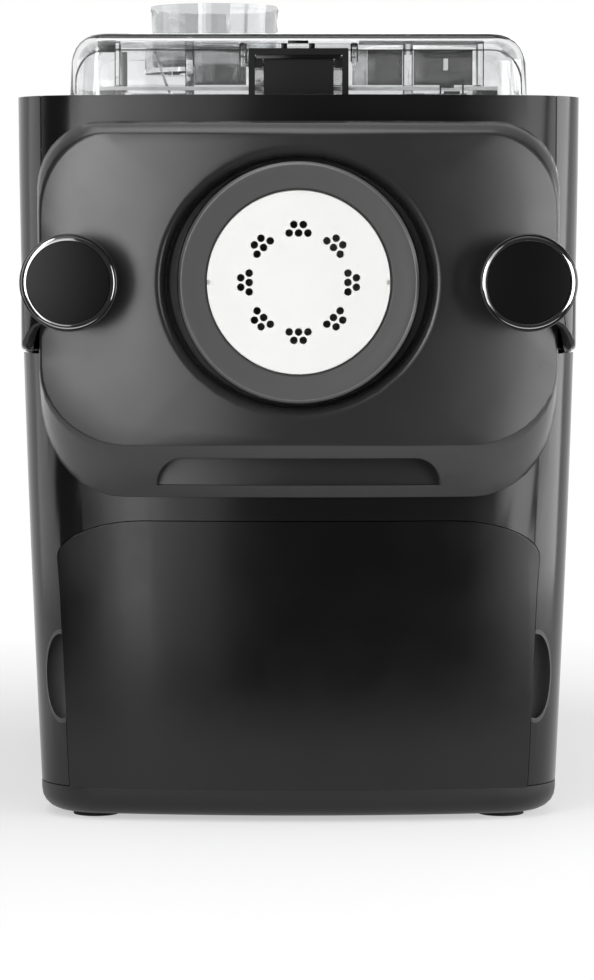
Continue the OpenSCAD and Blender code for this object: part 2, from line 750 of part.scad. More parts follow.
screw_back = bowl_back - 2;
screw_front = flange_y + 0.6;
screw_l = screw_back - screw_front;
flight_turns = 3.1;
flight_r = tube_r - sweep_gap;
hex_r = shaft_r + 1;
module extrusion_screw() {
    color("#e6e6e4") difference() {
        union() {
            facing_front(screw_back) cylinder(r = core_r, h = screw_l - 2);
            facing_front(screw_front + 2 + eps) cylinder(r1 = core_r, r2 = centre_r + 2, h = 2);
            facing_front(screw_front + 1) cylinder(r = centre_r, h = 4.6);
            facing_front(screw_front + 5 + screw_pitch * flight_turns)
                rotate([0, 0, 30]) flight(core_r - 1, flight_r, 7, 3, screw_pitch, flight_turns);
        }
        facing_front(screw_back + 1) cylinder(r = hex_r, h = hex_l + 2, $fn = 6);
    }
}

hub_back = bowl_back - 8;
hub_l = hub_back - bowl_front - 2 * screw_pitch;
blade_w = 8;
blade_t = 10;
blade_pitch = 18;
blade_n = floor((hub_l - 2 * blade_t) / blade_pitch);
module mixing_paddle() {
    reach = bowl_r - 3;
    color("#e6e6e4") difference() {
        union() {
            facing_front(hub_back) cylinder(r = core_r + 4, h = hub_l);
            for (k = [0:blade_n - 1])
                facing_front(hub_back - 1 - k * blade_pitch) rotate([0, 0, 45 + k * 180]) intersection() {
                    translate([core_r, -blade_w / 2, 0]) cube([reach - core_r, blade_w, blade_t]);
                    translate([0, 0, -1]) cylinder(r = reach, h = blade_t + 2);
                }
        }
        facing_front(bowl_back) cylinder(r = core_r, h = bowl_back - bowl_front);
    }
}

// ---- Mixing bowl ----
bowl_top = body_h + 5;
function bowl_outline(grow) =
    let (r = bowl_r + grow, hw = bowl_hw - bowl_wall + grow,
         right = concat([[hw, bowl_top - axis_z]], arc_pts([0, 0], r, 0, -90, 16)))
    concat(right, [for (i = [len(right) - 2:-1:0]) [-right[i][0], right[i][1]]]);

module bowl_prism(grow, y0, y1, cut) {
    translate([0, y1, axis_z]) rotate([90, 0, 0]) linear_extrude(y1 - y0) polygon(bowl_outline(grow));
    if (cut) box([-bowl_hw + bowl_wall, y0, bowl_top - 1], [bowl_hw - bowl_wall, y1, bowl_top + 1]);
}

rim_w = 7;
rim_y = 3.2;
rim_t = 2.6;
module mixing_bowl() {
    color([0.85, 0.88, 0.9, 0.5]) difference() {
        union() {
            bowl_prism(bowl_wall, bowl_front - bowl_wall, bowl_back + bowl_wall, false);
            box([-bowl_hw - rim_w, bowl_front - bowl_wall - rim_y, body_h + 0.2],
                [bowl_hw + rim_w, bowl_back + bowl_wall + rim_y, body_h + rim_t]);
        }
        bowl_prism(0, bowl_front, bowl_back, true);
        facing_front(bowl_front + 1) cylinder(r = tube_r + tube_wall, h = bowl_wall + 2);
        facing_front(bowl_back + bowl_wall + 1) cylinder(r = shaft_r + 5, h = bowl_wall + 2);
    }
}

module bowl_seal() {
    color("#77777a") facing_front(bowl_back + bowl_wall + 1) difference() {
        union() {
            cylinder(r = shaft_r + 5, h = bowl_wall + 1.6);
            cylinder(r = shaft_r + 9, h = 1);
        }
        translate([0, 0, -1]) cylinder(r = shaft_r + run_gap, h = bowl_wall + 6);
    }
}

// ---- Chassis ----
chassis_hw = body_w / 2 - 17;
rib_t = 4;
bowl_space = bowl_r + bowl_wall + 0.4;
module chassis() {
    color("#3a3a3e") difference() {
        union() {
            box([-chassis_hw, bulkhead_y, 40], [chassis_hw, plate_y, body_h - deck_t]);
            box([-chassis_hw + 12, bulkhead_y, base_z + base_floor], [chassis_hw - 12, plate_y, 41]);
            box([-chassis_hw, -front_y + 20, floor_z], [chassis_hw, bulkhead_y + 1, floor_z + floor_t]);
            for (y = [bowl_front + 12, bowl_back - 20])
                box([-chassis_hw + 12, y, floor_z + 1], [chassis_hw - 12, y + rib_t, axis_z - 30]);
            both_sides() box([tub_hw + 8, -front_y + 33, base_z + base_floor],
                             [tub_hw + 11, bulkhead_y + 1, floor_z + 1]);
        }
        facing_front(bulkhead_y - 1) cylinder(r = bowl_space, h = total_l);
        facing_front(plate_y + 1) cylinder(r = shaft_r + 6, h = plate_t + 2);
    }
}

module drawer_runners() {
    color("silver") both_sides() {
        box([runner_x, runner_y, runner_z - 6], [tub_hw + 8, runner_end, runner_z - 4]);
        box([tub_hw + 6, runner_y, runner_z - 5], [tub_hw + 8, runner_end, runner_z + 6]);
    }
}
runner_x = tub_hw + 0.4;
runner_z = 70;
runner_y = -front_y + 34;
runner_end = bulkhead_y - 0.2;

// ---- Drawer ----
tub_y = -front_y + wall + 12;
tub_l = bulkhead_y - tub_gap - tub_y;
tub_low = 20;
tub_high = drawer_high - 9;
module drawer_front() {
    color("#26262a") {
        intersection() {
            drawer_prism(0, -front_y - 5, -front_y + 40);
            front_slab(0, wall, base_h - 5, drawer_high + 5, drawer_hw(drawer_high) + 20);
        }
        difference() {
            box([-tub_hw + 6, -front_y + wall + 1, tub_low + 6], [tub_hw - 6, tub_y - eps, tub_high - 10]);
            front_slab(-5, wall / 2, 0, body_h, tub_hw);
        }
    }
}

lip_l = 3.4;
module drawer_tub() {
    color("#d9d9d6") difference() {
        union() {
            box([-tub_hw, tub_y, tub_low], [tub_hw, tub_y + tub_l, tub_high]);
            both_sides()
                box([tub_hw - 1, tub_y, runner_z - 3.6], [tub_hw + lip_l, tub_y + tub_l, runner_z - 1]);
        }
        box([-tub_hw + tub_wall, tub_y + tub_wall, tub_low + tub_wall],
            [tub_hw - tub_wall, tub_y + tub_l - tub_wall, tub_high + 1]);
    }
}

spare_n = 3;
spare_pitch = 13;
rack_hw = disc_r + 14;
rack_l = spare_n * spare_pitch + 1;
rack_h = 20;
rack_y = tub_y + tub_l - rack_l - 6;
rack_floor = tub_low + tub_wall;
module disc_rack() {
    color("#c4c4c2") difference() {
        box([-rack_hw, rack_y, rack_floor], [rack_hw, rack_y + rack_l, rack_floor + rack_h]);
        for (k = [0:spare_n - 1]) facing_front(rack_y + 3.6 + disc_t + k * spare_pitch, 0, spare_z)
            cylinder(r = disc_r + 0.1, h = disc_t + 0.4);
    }
}
spare_z = rack_floor + disc_r + 3;
slot_l = 18;
slot_w = 2;
tube_hole_r = 3.5;

module spare_discs() {
    color("#f4f4f2") for (k = [0:spare_n - 1])
        facing_front(rack_y + 3.4 + disc_t + k * spare_pitch, 0, spare_z) difference() {
            cylinder(r = disc_r, h = disc_t);
            if (k == 0) disc_holes(20, strand_r);
            if (k == 1) for (a = [0:60:300]) rotate([0, 0, a]) translate([12, -1, -1])
                cube([slot_l, slot_w, 20]);
            if (k == 2) for (a = [0:45:315]) rotate([0, 0, a]) translate([22, 0, -1])
                cylinder(r = tube_hole_r, h = 20);
            translate([0, 0, -1]) cylinder(r = centre_r + run_gap, h = 4);
        }
}

// ---- Clamp arms (the right one; the left one is its mirror image) ----
arm_front = -front_y + bulge(knob_x - tab_r) - cover_depth - arm_gap;
side_end = cover_hw + 3.6;
turn_r = 7;
arm_mid = arm_front - arm_t / 2;
// Stations of the arm: x, y, heading, thickness, low edge, high edge
arm_stations = concat(
    [[pivot_x + 1, pivot_y - 2, 0, 9, 0, 0], [pivot_x + 0.8, pivot_y - 20, 0, 7.2, 0, 0],
     [pivot_x - 0.2, pivot_y - 46, 1, 6, 0, 0.4], [side_end + 0.9, pivot_y - 64, 1, 5.4, 0.4, 1],
     [side_end, arm_mid + turn_r, 1, 5.2, 1.6, 2.4]],
    [for (k = [1:4]) let (a = 90 * k / 4)
        [side_end - turn_r + turn_r * cos(a), arm_mid + turn_r - turn_r * sin(a), a,
         mix(5.2, arm_t, k / 4), mix(1.6, 12.4, ramp(k / 4)), mix(2.4, 10, k / 4)]],
    [[knob_x - 2, arm_mid, 90, arm_t, 16, 12]]);
section_r = 1.9;
function section(t, h) = concat(
    arc_pts([t / 2 - section_r, -h / 2 + section_r], section_r, -90, 0, 3),
    arc_pts([t / 2 - section_r, h / 2 - section_r], section_r, 0, 90, 3),
    arc_pts([section_r - t / 2, h / 2 - section_r], section_r, 90, 180, 3),
    arc_pts([section_r - t / 2, section_r - h / 2], section_r, 180, 270, 3));
function arm_ring(s) =
    let (low = knuckle_z + s[4], high = knuckle_z + knuckle_l + s[5], mid = (low + high) / 2)
    [for (p = section(s[3], high - low))
        [s[0] + p[0] * cos(s[2]), s[1] - p[0] * sin(s[2]), mid + p[1]]];

module right_arm() {
    color("#1c1c1f") difference() {
        union() {
            skin([for (s = arm_stations) arm_ring(s)]);
            translate([pivot_x, pivot_y, knuckle_z]) cylinder(r = knuckle_r, h = knuckle_l);
            facing_front(arm_front, knob_x) cylinder(r = tab_r, h = arm_t);
            facing_front(arm_front - arm_t + eps, knob_x) cylinder(r = 10, h = neck_l + eps);
        }
        translate([pivot_x, pivot_y, knuckle_z - 5]) cylinder(r = arm_pin_r + run_gap, h = knuckle_l + 10);
    }
}
module left_arm() {
    mirror([1, 0, 0]) right_arm();
}

knob_back = arm_front - arm_t - neck_l;
module right_knob() {
    color("#222225") facing_front(knob_back, knob_x) rotate_extrude() polygon([
        [0, 0], [knob_r - knob_rim, 0], [knob_r - knob_rim, knob_l - 0.5],
        [knob_r - knob_rim - 0.5, knob_l], [0, knob_l]]);
}
module left_knob() {
    mirror([1, 0, 0]) right_knob();
}

module right_knob_rim() {
    color("#3a3a40") facing_front(knob_back, knob_x) rotate_extrude() polygon([
        [knob_r - knob_rim, 0.6], [knob_r - 0.9, 0.6], [knob_r, 1.8], [knob_r, knob_l - 1.6],
        [knob_r - 0.5, knob_l - 0.6], [knob_r - knob_rim + 0.5, knob_l - 0.1],
        [knob_r - knob_rim, knob_l - 0.3]]);
}
module left_knob_rim() {
    mirror([1, 0, 0]) right_knob_rim();
}

pad_x = knob_x + 5;
pad_back = -front_y + bulge(pad_x - pad_r) - cover_depth - 0.3;
module right_arm_pad() {
    color("#101012") facing_front(pad_back, pad_x) cylinder(r = pad_r, h = pad_back - arm_front);
}
module left_arm_pad() {
    mirror([1, 0, 0]) right_arm_pad();
}

bracket_x = half_w(axis_z) - 0.9;
tongue_t = 2;
module arm_brackets() {
    color("#17171a") both_sides() difference() {
        union() {
            box([channel_x - pocket_depth + seam, pivot_y - pocket_before, pocket_low],
                [bracket_x, pivot_y + pocket_behind, pocket_high]);
            box([channel_x - 0.4 - tongue_t, pivot_y - 44, knuckle_z - channel_over],
                [channel_x - 0.4, pivot_y - pocket_before + 0.5, knuckle_z + knuckle_l + channel_over]);
            box([chassis_hw - 30, pivot_y - 2, pocket_low], [channel_x - 7, pivot_y + 4, pocket_low + 12]);
        }
        box([channel_x - 1.8, pivot_y - 12, knuckle_z - 0.4],
            [body_w, pivot_y + knuckle_r + 1.4, knuckle_z + knuckle_l + 0.4]);
        translate([pivot_x, pivot_y, pocket_low + 2]) cylinder(r = arm_pin_r, h = knuckle_l + 16.6);
    }
}

module arm_hinge_pins() {
    color("silver") both_sides() translate([pivot_x, pivot_y, pocket_low + 2.2])
        cylinder(r = arm_pin_r, h = knuckle_l + 16.2);
}

// ---- Gear train ----
pressure = 20;
function inv(a) = tan(a) * 180 / PI - a;
// One involute gear with a tooth at the phase angle
module gear(teeth, m, w, phase, bore) {
    rp = teeth * m / 2;
    rb = rp * cos(pressure);
    tip = rp + 0.8 * m;
    root = rp - 1.1 * m;
    half = 90 / teeth - 0.14 / rp * 180 / PI;
    low = max(rb, root);
    flank = concat(root < rb ? [[root, half + inv(pressure) - 0.6]] : [],
        [for (k = [0:4]) let (r = mix(low + 0.02, tip, k / 4))
            [r, half + inv(pressure) - inv(acos(rb / r))]]);
    tooth = concat([for (f = flank) [f[0], -f[1]]],
                   [for (j = [len(flank) - 1:-1:0]) [flank[j][0], flank[j][1]]]);
    pts = [for (i = [0:teeth - 1]) for (p = tooth) let (a = phase + 360 * i / teeth + p[1])
        [p[0] * cos(a), p[0] * sin(a)]];
    difference() {
        linear_extrude(w) polygon(pts);
        translate([0, 0, -1]) cylinder(r = bore, h = w + 2);
    }
}

// Seen from the front, with X to the right
output_phase = idler_angle;
module output_gear() {
    color("#d8cfa8") facing_front(gear_y + gear_step + gear_w) difference() {
        gear(teeth_d, mod_2, gear_w, output_phase, shaft_r);
        for (a = [0:60:300]) rotate([0, 0, a]) translate([30, 0, -1]) cylinder(r = 8, h = gear_w + 2);
    }
}

shaft_end = rear_plate_y + plate_t - 0.3;
hex_l = 26;
module output_shaft() {
    color("silver") {
        facing_front(shaft_end) cylinder(r = shaft_r, h = shaft_end - screw_back);
        facing_front(screw_back) cylinder(r = hex_r - 0.02, h = hex_l, $fn = 6);
    }
}

module idler_gear() {
    color("#e2dcc4") {
        facing_front(gear_y + gear_w, idler_x, idler_z)
            gear(teeth_b, mod_1, gear_w, motor_angle, idler_r + run_gap);
        facing_front(gear_y + gear_step + gear_w, idler_x, idler_z)
            gear(teeth_c, mod_2, gear_step, idler_angle + 180 + 180 / teeth_c, idler_r + run_gap);
    }
}

module idler_shaft() {
    color("silver") facing_front(rear_plate_y + plate_t, idler_x, idler_z)
        cylinder(r = idler_r, h = rear_plate_y + plate_t - plate_y - 0.2);
}

rotor_r = 3;
pinion_bore = rotor_r;
module motor_shaft() {
    color("silver") facing_front(motor_y + motor_l + 16, motor_x, motor_z)
        cylinder(r = rotor_r, h = motor_y + motor_l + 16 - gear_y + 0.5);
}
module motor_pinion() {
    color("#b08d4a") facing_front(gear_y + gear_w, motor_x, motor_z)
        gear(teeth_a, mod_1, gear_w, motor_angle + 180 + 180 / teeth_a, pinion_bore);
}

fan_y = motor_y + motor_l + 4;
module cooling_fan() {
    color("#2e2e32") facing_front(fan_y + 10, motor_x, motor_z) difference() {
        union() {
            cylinder(r = 9, h = 10);
            for (k = [0:6]) rotate([0, 0, k * 360 / 7]) rotate([28, 0, 0]) translate([7, -1, 0])
                cube([26, 2, 9]);
        }
        translate([0, 0, -1]) cylinder(r = rotor_r, h = 12);
        translate([0, 0, -9]) cylinder(r = 60, h = 9);
        translate([0, 0, 10]) cylinder(r = 60, h = 9);
    }
}

// Corner posts of the gearbox, clear of the gears
post_r = 4;
slab_hw = 80;
slab_high = 68;
slab_right = idler_x + 58;
slab_low = axis_z - idler_z + 58;
post_places = [[8 - slab_hw, slab_high - 8], [slab_hw - 8, slab_high - 8], [8 - slab_hw, -20],
               [slab_right - 6, -10], [-50, 8 - slab_low], [slab_hw - 8, 8 - slab_low]];
module post_pattern() {
    for (p = post_places) translate([p[0], 0, p[1]]) children();
}
module gearbox_slab(y, t) {
    facing_front(y + t) linear_extrude(t) polygon([
        [-slab_hw, slab_high], [slab_hw, slab_high], [slab_right, 10], [slab_right, -30],
        [slab_hw + 2, -slab_low], [20 - slab_hw, -slab_low], [-slab_hw, 48 - slab_low]]);
}

bearing_r = shaft_r + 4;
module gearbox_front_plate() {
    color("#9a9ca0") difference() {
        union() {
            gearbox_slab(plate_y, plate_t);
            post_pattern() facing_front(rear_plate_y, 0)
                cylinder(r = post_r, h = rear_plate_y - plate_y - plate_t + eps);
        }
        facing_front(plate_y + plate_t + 1) cylinder(r = bearing_r, h = plate_t + 2);
        facing_front(plate_y + plate_t + 1, idler_x, idler_z) cylinder(r = idler_r, h = plate_t + 2);
    }
}

module gearbox_rear_plate() {
    color("#9a9ca0") difference() {
        gearbox_slab(rear_plate_y, plate_t);
        facing_front(rear_plate_y + plate_t + 1) cylinder(r = bearing_r, h = plate_t + 2);
        facing_front(rear_plate_y + plate_t + 1, idler_x, idler_z) cylinder(r = idler_r, h = plate_t + 2);
        facing_front(rear_plate_y + plate_t + 1, motor_x, motor_z) cylinder(r = 12, h = plate_t + 2);
    }
}

module shaft_bearings() {
    color("#b9bbbf") for (y = [plate_y, rear_plate_y])
        facing_front(y + plate_t) ring(bearing_r, shaft_r + run_gap, plate_t);
}

module motor() {
    color("#8d8f94") difference() {
        union() {
            facing_front(motor_y + motor_l, motor_x, motor_z) cylinder(r = motor_r, h = motor_l);
            facing_front(motor_y, motor_x, motor_z) cylinder(r = 12, h = plate_t);
        }
        facing_front(motor_y + motor_l + 1, motor_x, motor_z)
            cylinder(r = rotor_r + run_gap, h = motor_l + 20);
    }
}

// Power board: its corner, its size, and the parts that stand on it
board_x = 2 - tub_hw;
board_y = plate_y + 10;
board_z = 45;
board_w = 126;
board_l = 90;
board_t = 2;
stand_in = 7;
relay = [30, 36, 22];
can_r = 9;
can_h = 22;
module power_board() {
    top = board_z + board_t - eps;
    color("#2f6b45") {
        box([board_x, board_y, board_z], [board_x + board_w, board_y + board_l, board_z + board_t]);
        for (x = [stand_in, board_w - stand_in], y = [stand_in, board_l - stand_in])
            translate([board_x + x, board_y + y, base_z + base_floor])
                cylinder(r = 3, h = board_z - base_z - base_floor + eps);
        translate([board_x + 6, board_y + 14, top]) cube(relay);
        for (x = [66, 90]) translate([board_x + x, board_y + 30, top]) cylinder(r = can_r, h = can_h);
    }
}

// ---- Lid ----
lid_top = body_h + lid_h - 2.4;
function lid_ring(ix, iy, z) =
    let (a = lid_hw - ix, y0 = lid_front + iy, y1 = lid_back - iy, r = max(14 - (ix + iy) / 2, 2))
    lift(concat(arc_pts([a - r, y0 + r], r, -90, 0, 6), arc_pts([a - r, y1 - r], r, 0, 90, 6),
                arc_pts([r - a, y1 - r], r, 90, 180, 6), arc_pts([r - a, y0 + r], r, 180, 270, 6)), z);
lid_gap = 0.3;
crown = 2.4;
lid_mid = (lid_back - lid_front) / 2;
function lid_profile(t) = let (r = shoulder_r - t, rf = 5 - t / 2) concat(
    [[t, t, body_h + lid_gap], [t + 0.6, t + 0.3, lid_top - shoulder_r]],
    [for (k = [1:6]) let (a = 15 * k)
        [t + 0.8 + r * (1 - cos(a)), t + 0.4 + rf * (1 - cos(a)), lid_top - shoulder_r + r * sin(a)]],
    [for (k = [[0.3, 0.24, 0.55], [0.63, 0.55, 0.95], [0.85, 0.88, 1]])
        [t + lid_hw * k[0], t + lid_mid * k[1], lid_top - t + crown * k[2]]]);

rib_x = lid_hw - 52.3;
socket_r = cup_r + 0.5;
arch_top = body_h + 20.2;
module lid() {
    outside = lid_profile(0);
    inside = lid_profile(lid_wall);
    n = len(inside);
    color([0.86, 0.89, 0.92, 0.45]) difference() {
        union() {
            skin(concat([for (i = [n - 1:-1:0]) lid_ring(inside[i][0], inside[i][1], inside[i][2])],
                        [for (p = outside) lid_ring(p[0], p[1], p[2])]));
            translate([cup_x, cup_y, cup_z - 2]) cylinder(r = socket_r + 2, h = lid_top - cup_z + 2);
            both_sides() {
                translate([knuckle_in, hinge_y, hinge_z]) rotate([0, 90, 0])
                    cylinder(r = hinge_r, h = knuckle_out - knuckle_in);
                box([knuckle_in, lid_back - 1, hinge_z - 1.5], [knuckle_out, hinge_y - 1, hinge_z + 3]);
                box([rib_x, lid_front + 24, lid_top - 9], [rib_x + 2, lid_back - 14, lid_top + 0.4]);
            }
        }
        translate([cup_x, cup_y, cup_z]) cylinder(r = socket_r, h = 60);
        translate([cup_x, cup_y, cup_z - 5]) cylinder(r = 16, h = 10);
        both_sides() translate([knuckle_in - 1, hinge_y, hinge_z]) rotate([0, 90, 0])
            cylinder(r = lid_pin_r + run_gap, h = knuckle_out - knuckle_in + 2);
        box([-arch_hw - 0.2, lid_front - 1, body_h - 1], [arch_hw + 0.2, lid_front + 6, arch_top + 0.2]);
    }
}

module lid_hinge_pins() {
    color("silver") both_sides() translate([ear_in, hinge_y, hinge_z]) rotate([0, 90, 0])
        cylinder(r = lid_pin_r, h = ear_out - ear_in);
}

arch_y = lid_front - 2;
arch_t = 5.6;
latch_z = arch_top - arch_bar - 3;
latch_gap = 0.5;
latch_r = 2.4;
latch_pin_r = 1;
module lid_handle() {
    color("#141416") difference() {
        union() {
            box([-arch_hw, arch_y, arch_top - arch_bar], [arch_hw, arch_y + arch_t, arch_top]);
            both_sides() {
                box([arch_hw - arch_bar, arch_y, body_h + 0.6], [arch_hw, arch_y + arch_t, arch_top - 0.5]);
                box([latch_hw + latch_gap, arch_y + 1, latch_z - latch_r],
                    [arch_hw - 1, arch_y + arch_t - 0.4, latch_z + latch_r]);
            }
        }
        translate([-arch_hw - 1, arch_y + arch_t / 2, latch_z]) rotate([0, 90, 0])
            cylinder(r = latch_pin_r, h = 2 * arch_hw + 2);
    }
}

module latch_pin() {
    color("silver") translate([-arch_hw + 0.2, arch_y + arch_t / 2, latch_z]) rotate([0, 90, 0])
        cylinder(r = latch_pin_r, h = 2 * arch_hw - 0.4);
}

module latch_lever() {
    color("#0f0f11") difference() {
        union() {
            translate([-latch_hw, arch_y + arch_t / 2, latch_z]) rotate([0, 90, 0])
                cylinder(r = latch_r, h = 2 * latch_hw);
            box([-latch_hw, arch_y + 0.4, body_h + 0.8], [latch_hw, arch_y + arch_t - 1.2, latch_z]);
        }
        translate([-latch_hw - 1, arch_y + arch_t / 2, latch_z]) rotate([0, 90, 0])
            cylinder(r = latch_pin_r + run_gap, h = 2 * latch_hw + 2);
    }
}

seal_t = 1.6;
module lid_seal() {
    color("#9a9a9c") translate([0, 0, body_h + rim_t]) difference() {
        box([-bowl_hw - rim_w, bowl_front - bowl_wall - rim_y, 0],
            [bowl_hw + rim_w, bowl_back + bowl_wall + rim_y, seal_t]);
        box([-bowl_hw - 0.5, bowl_front - bowl_wall - 0.5, -1],
            [bowl_hw + 0.5, bowl_back + bowl_wall + 0.5, seal_t + 1]);
    }
}

cup_wall = 1.8;
module measuring_cup() {
    color([0.9, 0.92, 0.94, 0.5]) translate([cup_x, cup_y, cup_z + 0.05]) rotate_extrude() polygon([
        [0, 0], [cup_r - 3, 0], [cup_r - 0.9, 1.6], [cup_r - 0.4, cup_h - 3], [cup_r, cup_h - 1.8],
        [cup_r, cup_h], [cup_r - cup_wall, cup_h], [cup_r - cup_wall - 0.6, cup_wall + 1.5],
        [cup_r - cup_wall - 3, cup_wall], [0, cup_wall]]);
}

// ---- Controls ----
panel_t = 3;
panel_top = body_h + 0.6;
big_x = 44;
small_x = 20;
big_y = panel_y;
small_y = panel_y - 18;
button_places = [[-big_x, big_y, big_button_r], [big_x, big_y, big_button_r],
                 [small_x, small_y, small_button_r], [-small_x, small_y, small_button_r]];
lens_size = [52, 26];
lens_y = panel_y + 12;
button_gap = 0.3;
module control_panel() {
    color("#0c0c0e") difference() {
        translate([0, panel_y, panel_top - panel_t]) rounded_plate([2 * panel_hw, panel_l], 8, panel_t);
        for (b = button_places) translate([b[0], b[1], body_h - 20])
            cylinder(r = b[2] + button_gap, h = 40);
        translate([0, lens_y, panel_top - 1.4]) rounded_plate(lens_size, 3, 10);
    }
}

module display_lens() {
    color("#05070a") translate([0, lens_y, panel_top - 1.4]) rounded_plate(lens_size, 3, 1.4);
}

stem_r = 2.4;
board_top = body_h - 14;
module control_board() {
    hw = panel_hw - 6;
    hl = panel_l / 2 - 3;
    color("#2f6b45") difference() {
        union() {
            box([-hw, panel_y - hl, board_top - 1.6], [hw, panel_y + hl, board_top]);
            for (x = [3 - hw, hw - 3], y = [3 - hl, hl - 3]) translate([x, panel_y + y, board_top - eps])
                cylinder(r = 2.2, h = panel_top - panel_t - board_top + eps);
        }
        for (b = button_places) translate([b[0], b[1], board_top - 5])
            cylinder(r = stem_r + button_gap, h = 10);
    }
}

module button(i) {
    b = button_places[i];
    under = panel_top - panel_t;
    collar_z = board_top + button_travel + 0.4;
    translate([b[0], b[1], 0]) {
        translate([0, 0, under]) cylinder(r = b[2], h = panel_t + 0.9);
        translate([0, 0, board_top - 3]) cylinder(r = stem_r, h = under - board_top + 3 + eps);
        translate([0, 0, collar_z]) cylinder(r = b[2] + 1.2, h = under - 0.2 - collar_z);
    }
}
module power_button() { color("#b03a2e") button(0); }
module start_button() { color("#3c3c42") button(1); }
module plus_button() { color("#3c3c42") button(2); }
module minus_button() { color("#3c3c42") button(3); }

base_pan();
rubber_feet();
outer_shell();
front_frame();
top_deck();
rear_panel();
cord_inlet();
housing_screws();
chassis();
drawer_runners();
mixing_bowl();
bowl_seal();
tube_seal();
extrusion_tube();
front_cover();
cover_gasket();
shaping_disc();
ring_nut();
extrusion_screw();
mixing_paddle();
output_shaft();
output_gear();
idler_gear();
idler_shaft();
motor_shaft();
motor_pinion();
cooling_fan();
gearbox_front_plate();
gearbox_rear_plate();
shaft_bearings();
motor();
power_board();
arm_brackets();
arm_hinge_pins();
left_arm();
right_arm();
left_knob();
right_knob();
left_knob_rim();
right_knob_rim();
left_arm_pad();
right_arm_pad();
drawer_front();
drawer_tub();
disc_rack();
spare_discs();
lid();
lid_hinge_pins();
lid_handle();
latch_pin();
latch_lever();
lid_seal();
measuring_cup();
control_panel();
display_lens();
control_board();
power_button();
start_button();
plus_button();
minus_button();
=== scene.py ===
"""Electric pasta maker: the finish of its pieces, the details around them, the studio and the camera."""
import json
import math

import bpy
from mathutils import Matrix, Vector


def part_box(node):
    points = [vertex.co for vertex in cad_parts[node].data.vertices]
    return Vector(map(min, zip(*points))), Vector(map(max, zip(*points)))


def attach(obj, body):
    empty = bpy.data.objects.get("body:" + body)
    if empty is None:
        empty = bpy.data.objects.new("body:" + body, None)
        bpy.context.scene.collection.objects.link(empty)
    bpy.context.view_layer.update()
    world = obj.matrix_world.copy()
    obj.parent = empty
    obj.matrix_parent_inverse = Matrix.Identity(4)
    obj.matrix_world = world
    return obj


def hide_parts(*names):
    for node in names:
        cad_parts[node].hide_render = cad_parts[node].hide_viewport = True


MM = 0.001
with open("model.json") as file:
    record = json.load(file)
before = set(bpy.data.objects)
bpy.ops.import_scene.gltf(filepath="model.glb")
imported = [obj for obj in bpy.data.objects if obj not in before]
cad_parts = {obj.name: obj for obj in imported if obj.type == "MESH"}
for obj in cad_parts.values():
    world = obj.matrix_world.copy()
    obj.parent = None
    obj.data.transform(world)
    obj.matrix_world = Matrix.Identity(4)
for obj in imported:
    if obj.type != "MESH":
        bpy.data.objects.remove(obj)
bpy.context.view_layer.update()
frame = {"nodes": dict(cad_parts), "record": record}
NODES = frame["nodes"]
RECORD = frame["record"]
BODY_OF = {node: body for body, nodes in RECORD["behaviour"]["bodies"].items() for node in nodes}
SLOT_OF = {part["node"]: part["material_slot"] for part in RECORD["subparts"]}
bpy.ops.object.select_all(action="DESELECT")

# ---- Sizes: from the frame where it gives them ----
DISC_LOW, DISC_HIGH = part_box("shaping_disc")
AXIS = Vector((0, DISC_LOW.y, (DISC_LOW.z + DISC_HIGH.z) / 2))
LID_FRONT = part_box("lid")[0].y / MM
KNOB_LOW, KNOB_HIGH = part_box("right_knob")
KNOB = (KNOB_LOW + KNOB_HIGH) / 2
KNOB_R = (KNOB_HIGH.x - KNOB_LOW.x) / 2 / MM
KNOB_L = (KNOB_HIGH.y - KNOB_LOW.y) / MM
BODY_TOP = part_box("outer_shell")[1].z / MM
NUT_R = (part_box("ring_nut")[1].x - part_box("ring_nut")[0].x) / 2
NUT_FACE_W = 11.8 * MM
NUT_HOLE = NUT_R - NUT_FACE_W
# The round channel about the ring nut is a little wider than high
CHANNEL_HALF_W, CHANNEL_HALF_H = 55.5, 52.4
# Middle of the right finger scoop, and its half sizes in millimetres
SCOOP = Vector((100.9, -142.6, 62.0)) * MM
SCOOP_HALF = (8.5, 10.0, 19.0)


# ---- Materials: sockets as values, nodes from expressions ----
def operator(operation, swapped=False):
    """A Python operator that adds one Math node."""

    def method(self, other):
        terms = (other, self) if swapped else (self, other)
        return self.finish.node("ShaderNodeMath", {"operation": operation}, *terms)

    return method


class Value:
    """An output socket of a finish; arithmetic on it adds Math nodes."""

    def __init__(self, finish, socket):
        self.finish = finish
        self.socket = socket

    __add__ = operator("ADD")
    __radd__ = operator("ADD", swapped=True)
    __sub__ = operator("SUBTRACT")
    __rsub__ = operator("SUBTRACT", swapped=True)
    __mul__ = operator("MULTIPLY")
    __rmul__ = operator("MULTIPLY", swapped=True)
    __truediv__ = operator("DIVIDE")
    __rtruediv__ = operator("DIVIDE", swapped=True)
    __pow__ = operator("POWER")
    above = operator("GREATER_THAN")
    below = operator("LESS_THAN")
    larger = operator("MAXIMUM")
    smaller = operator("MINIMUM")


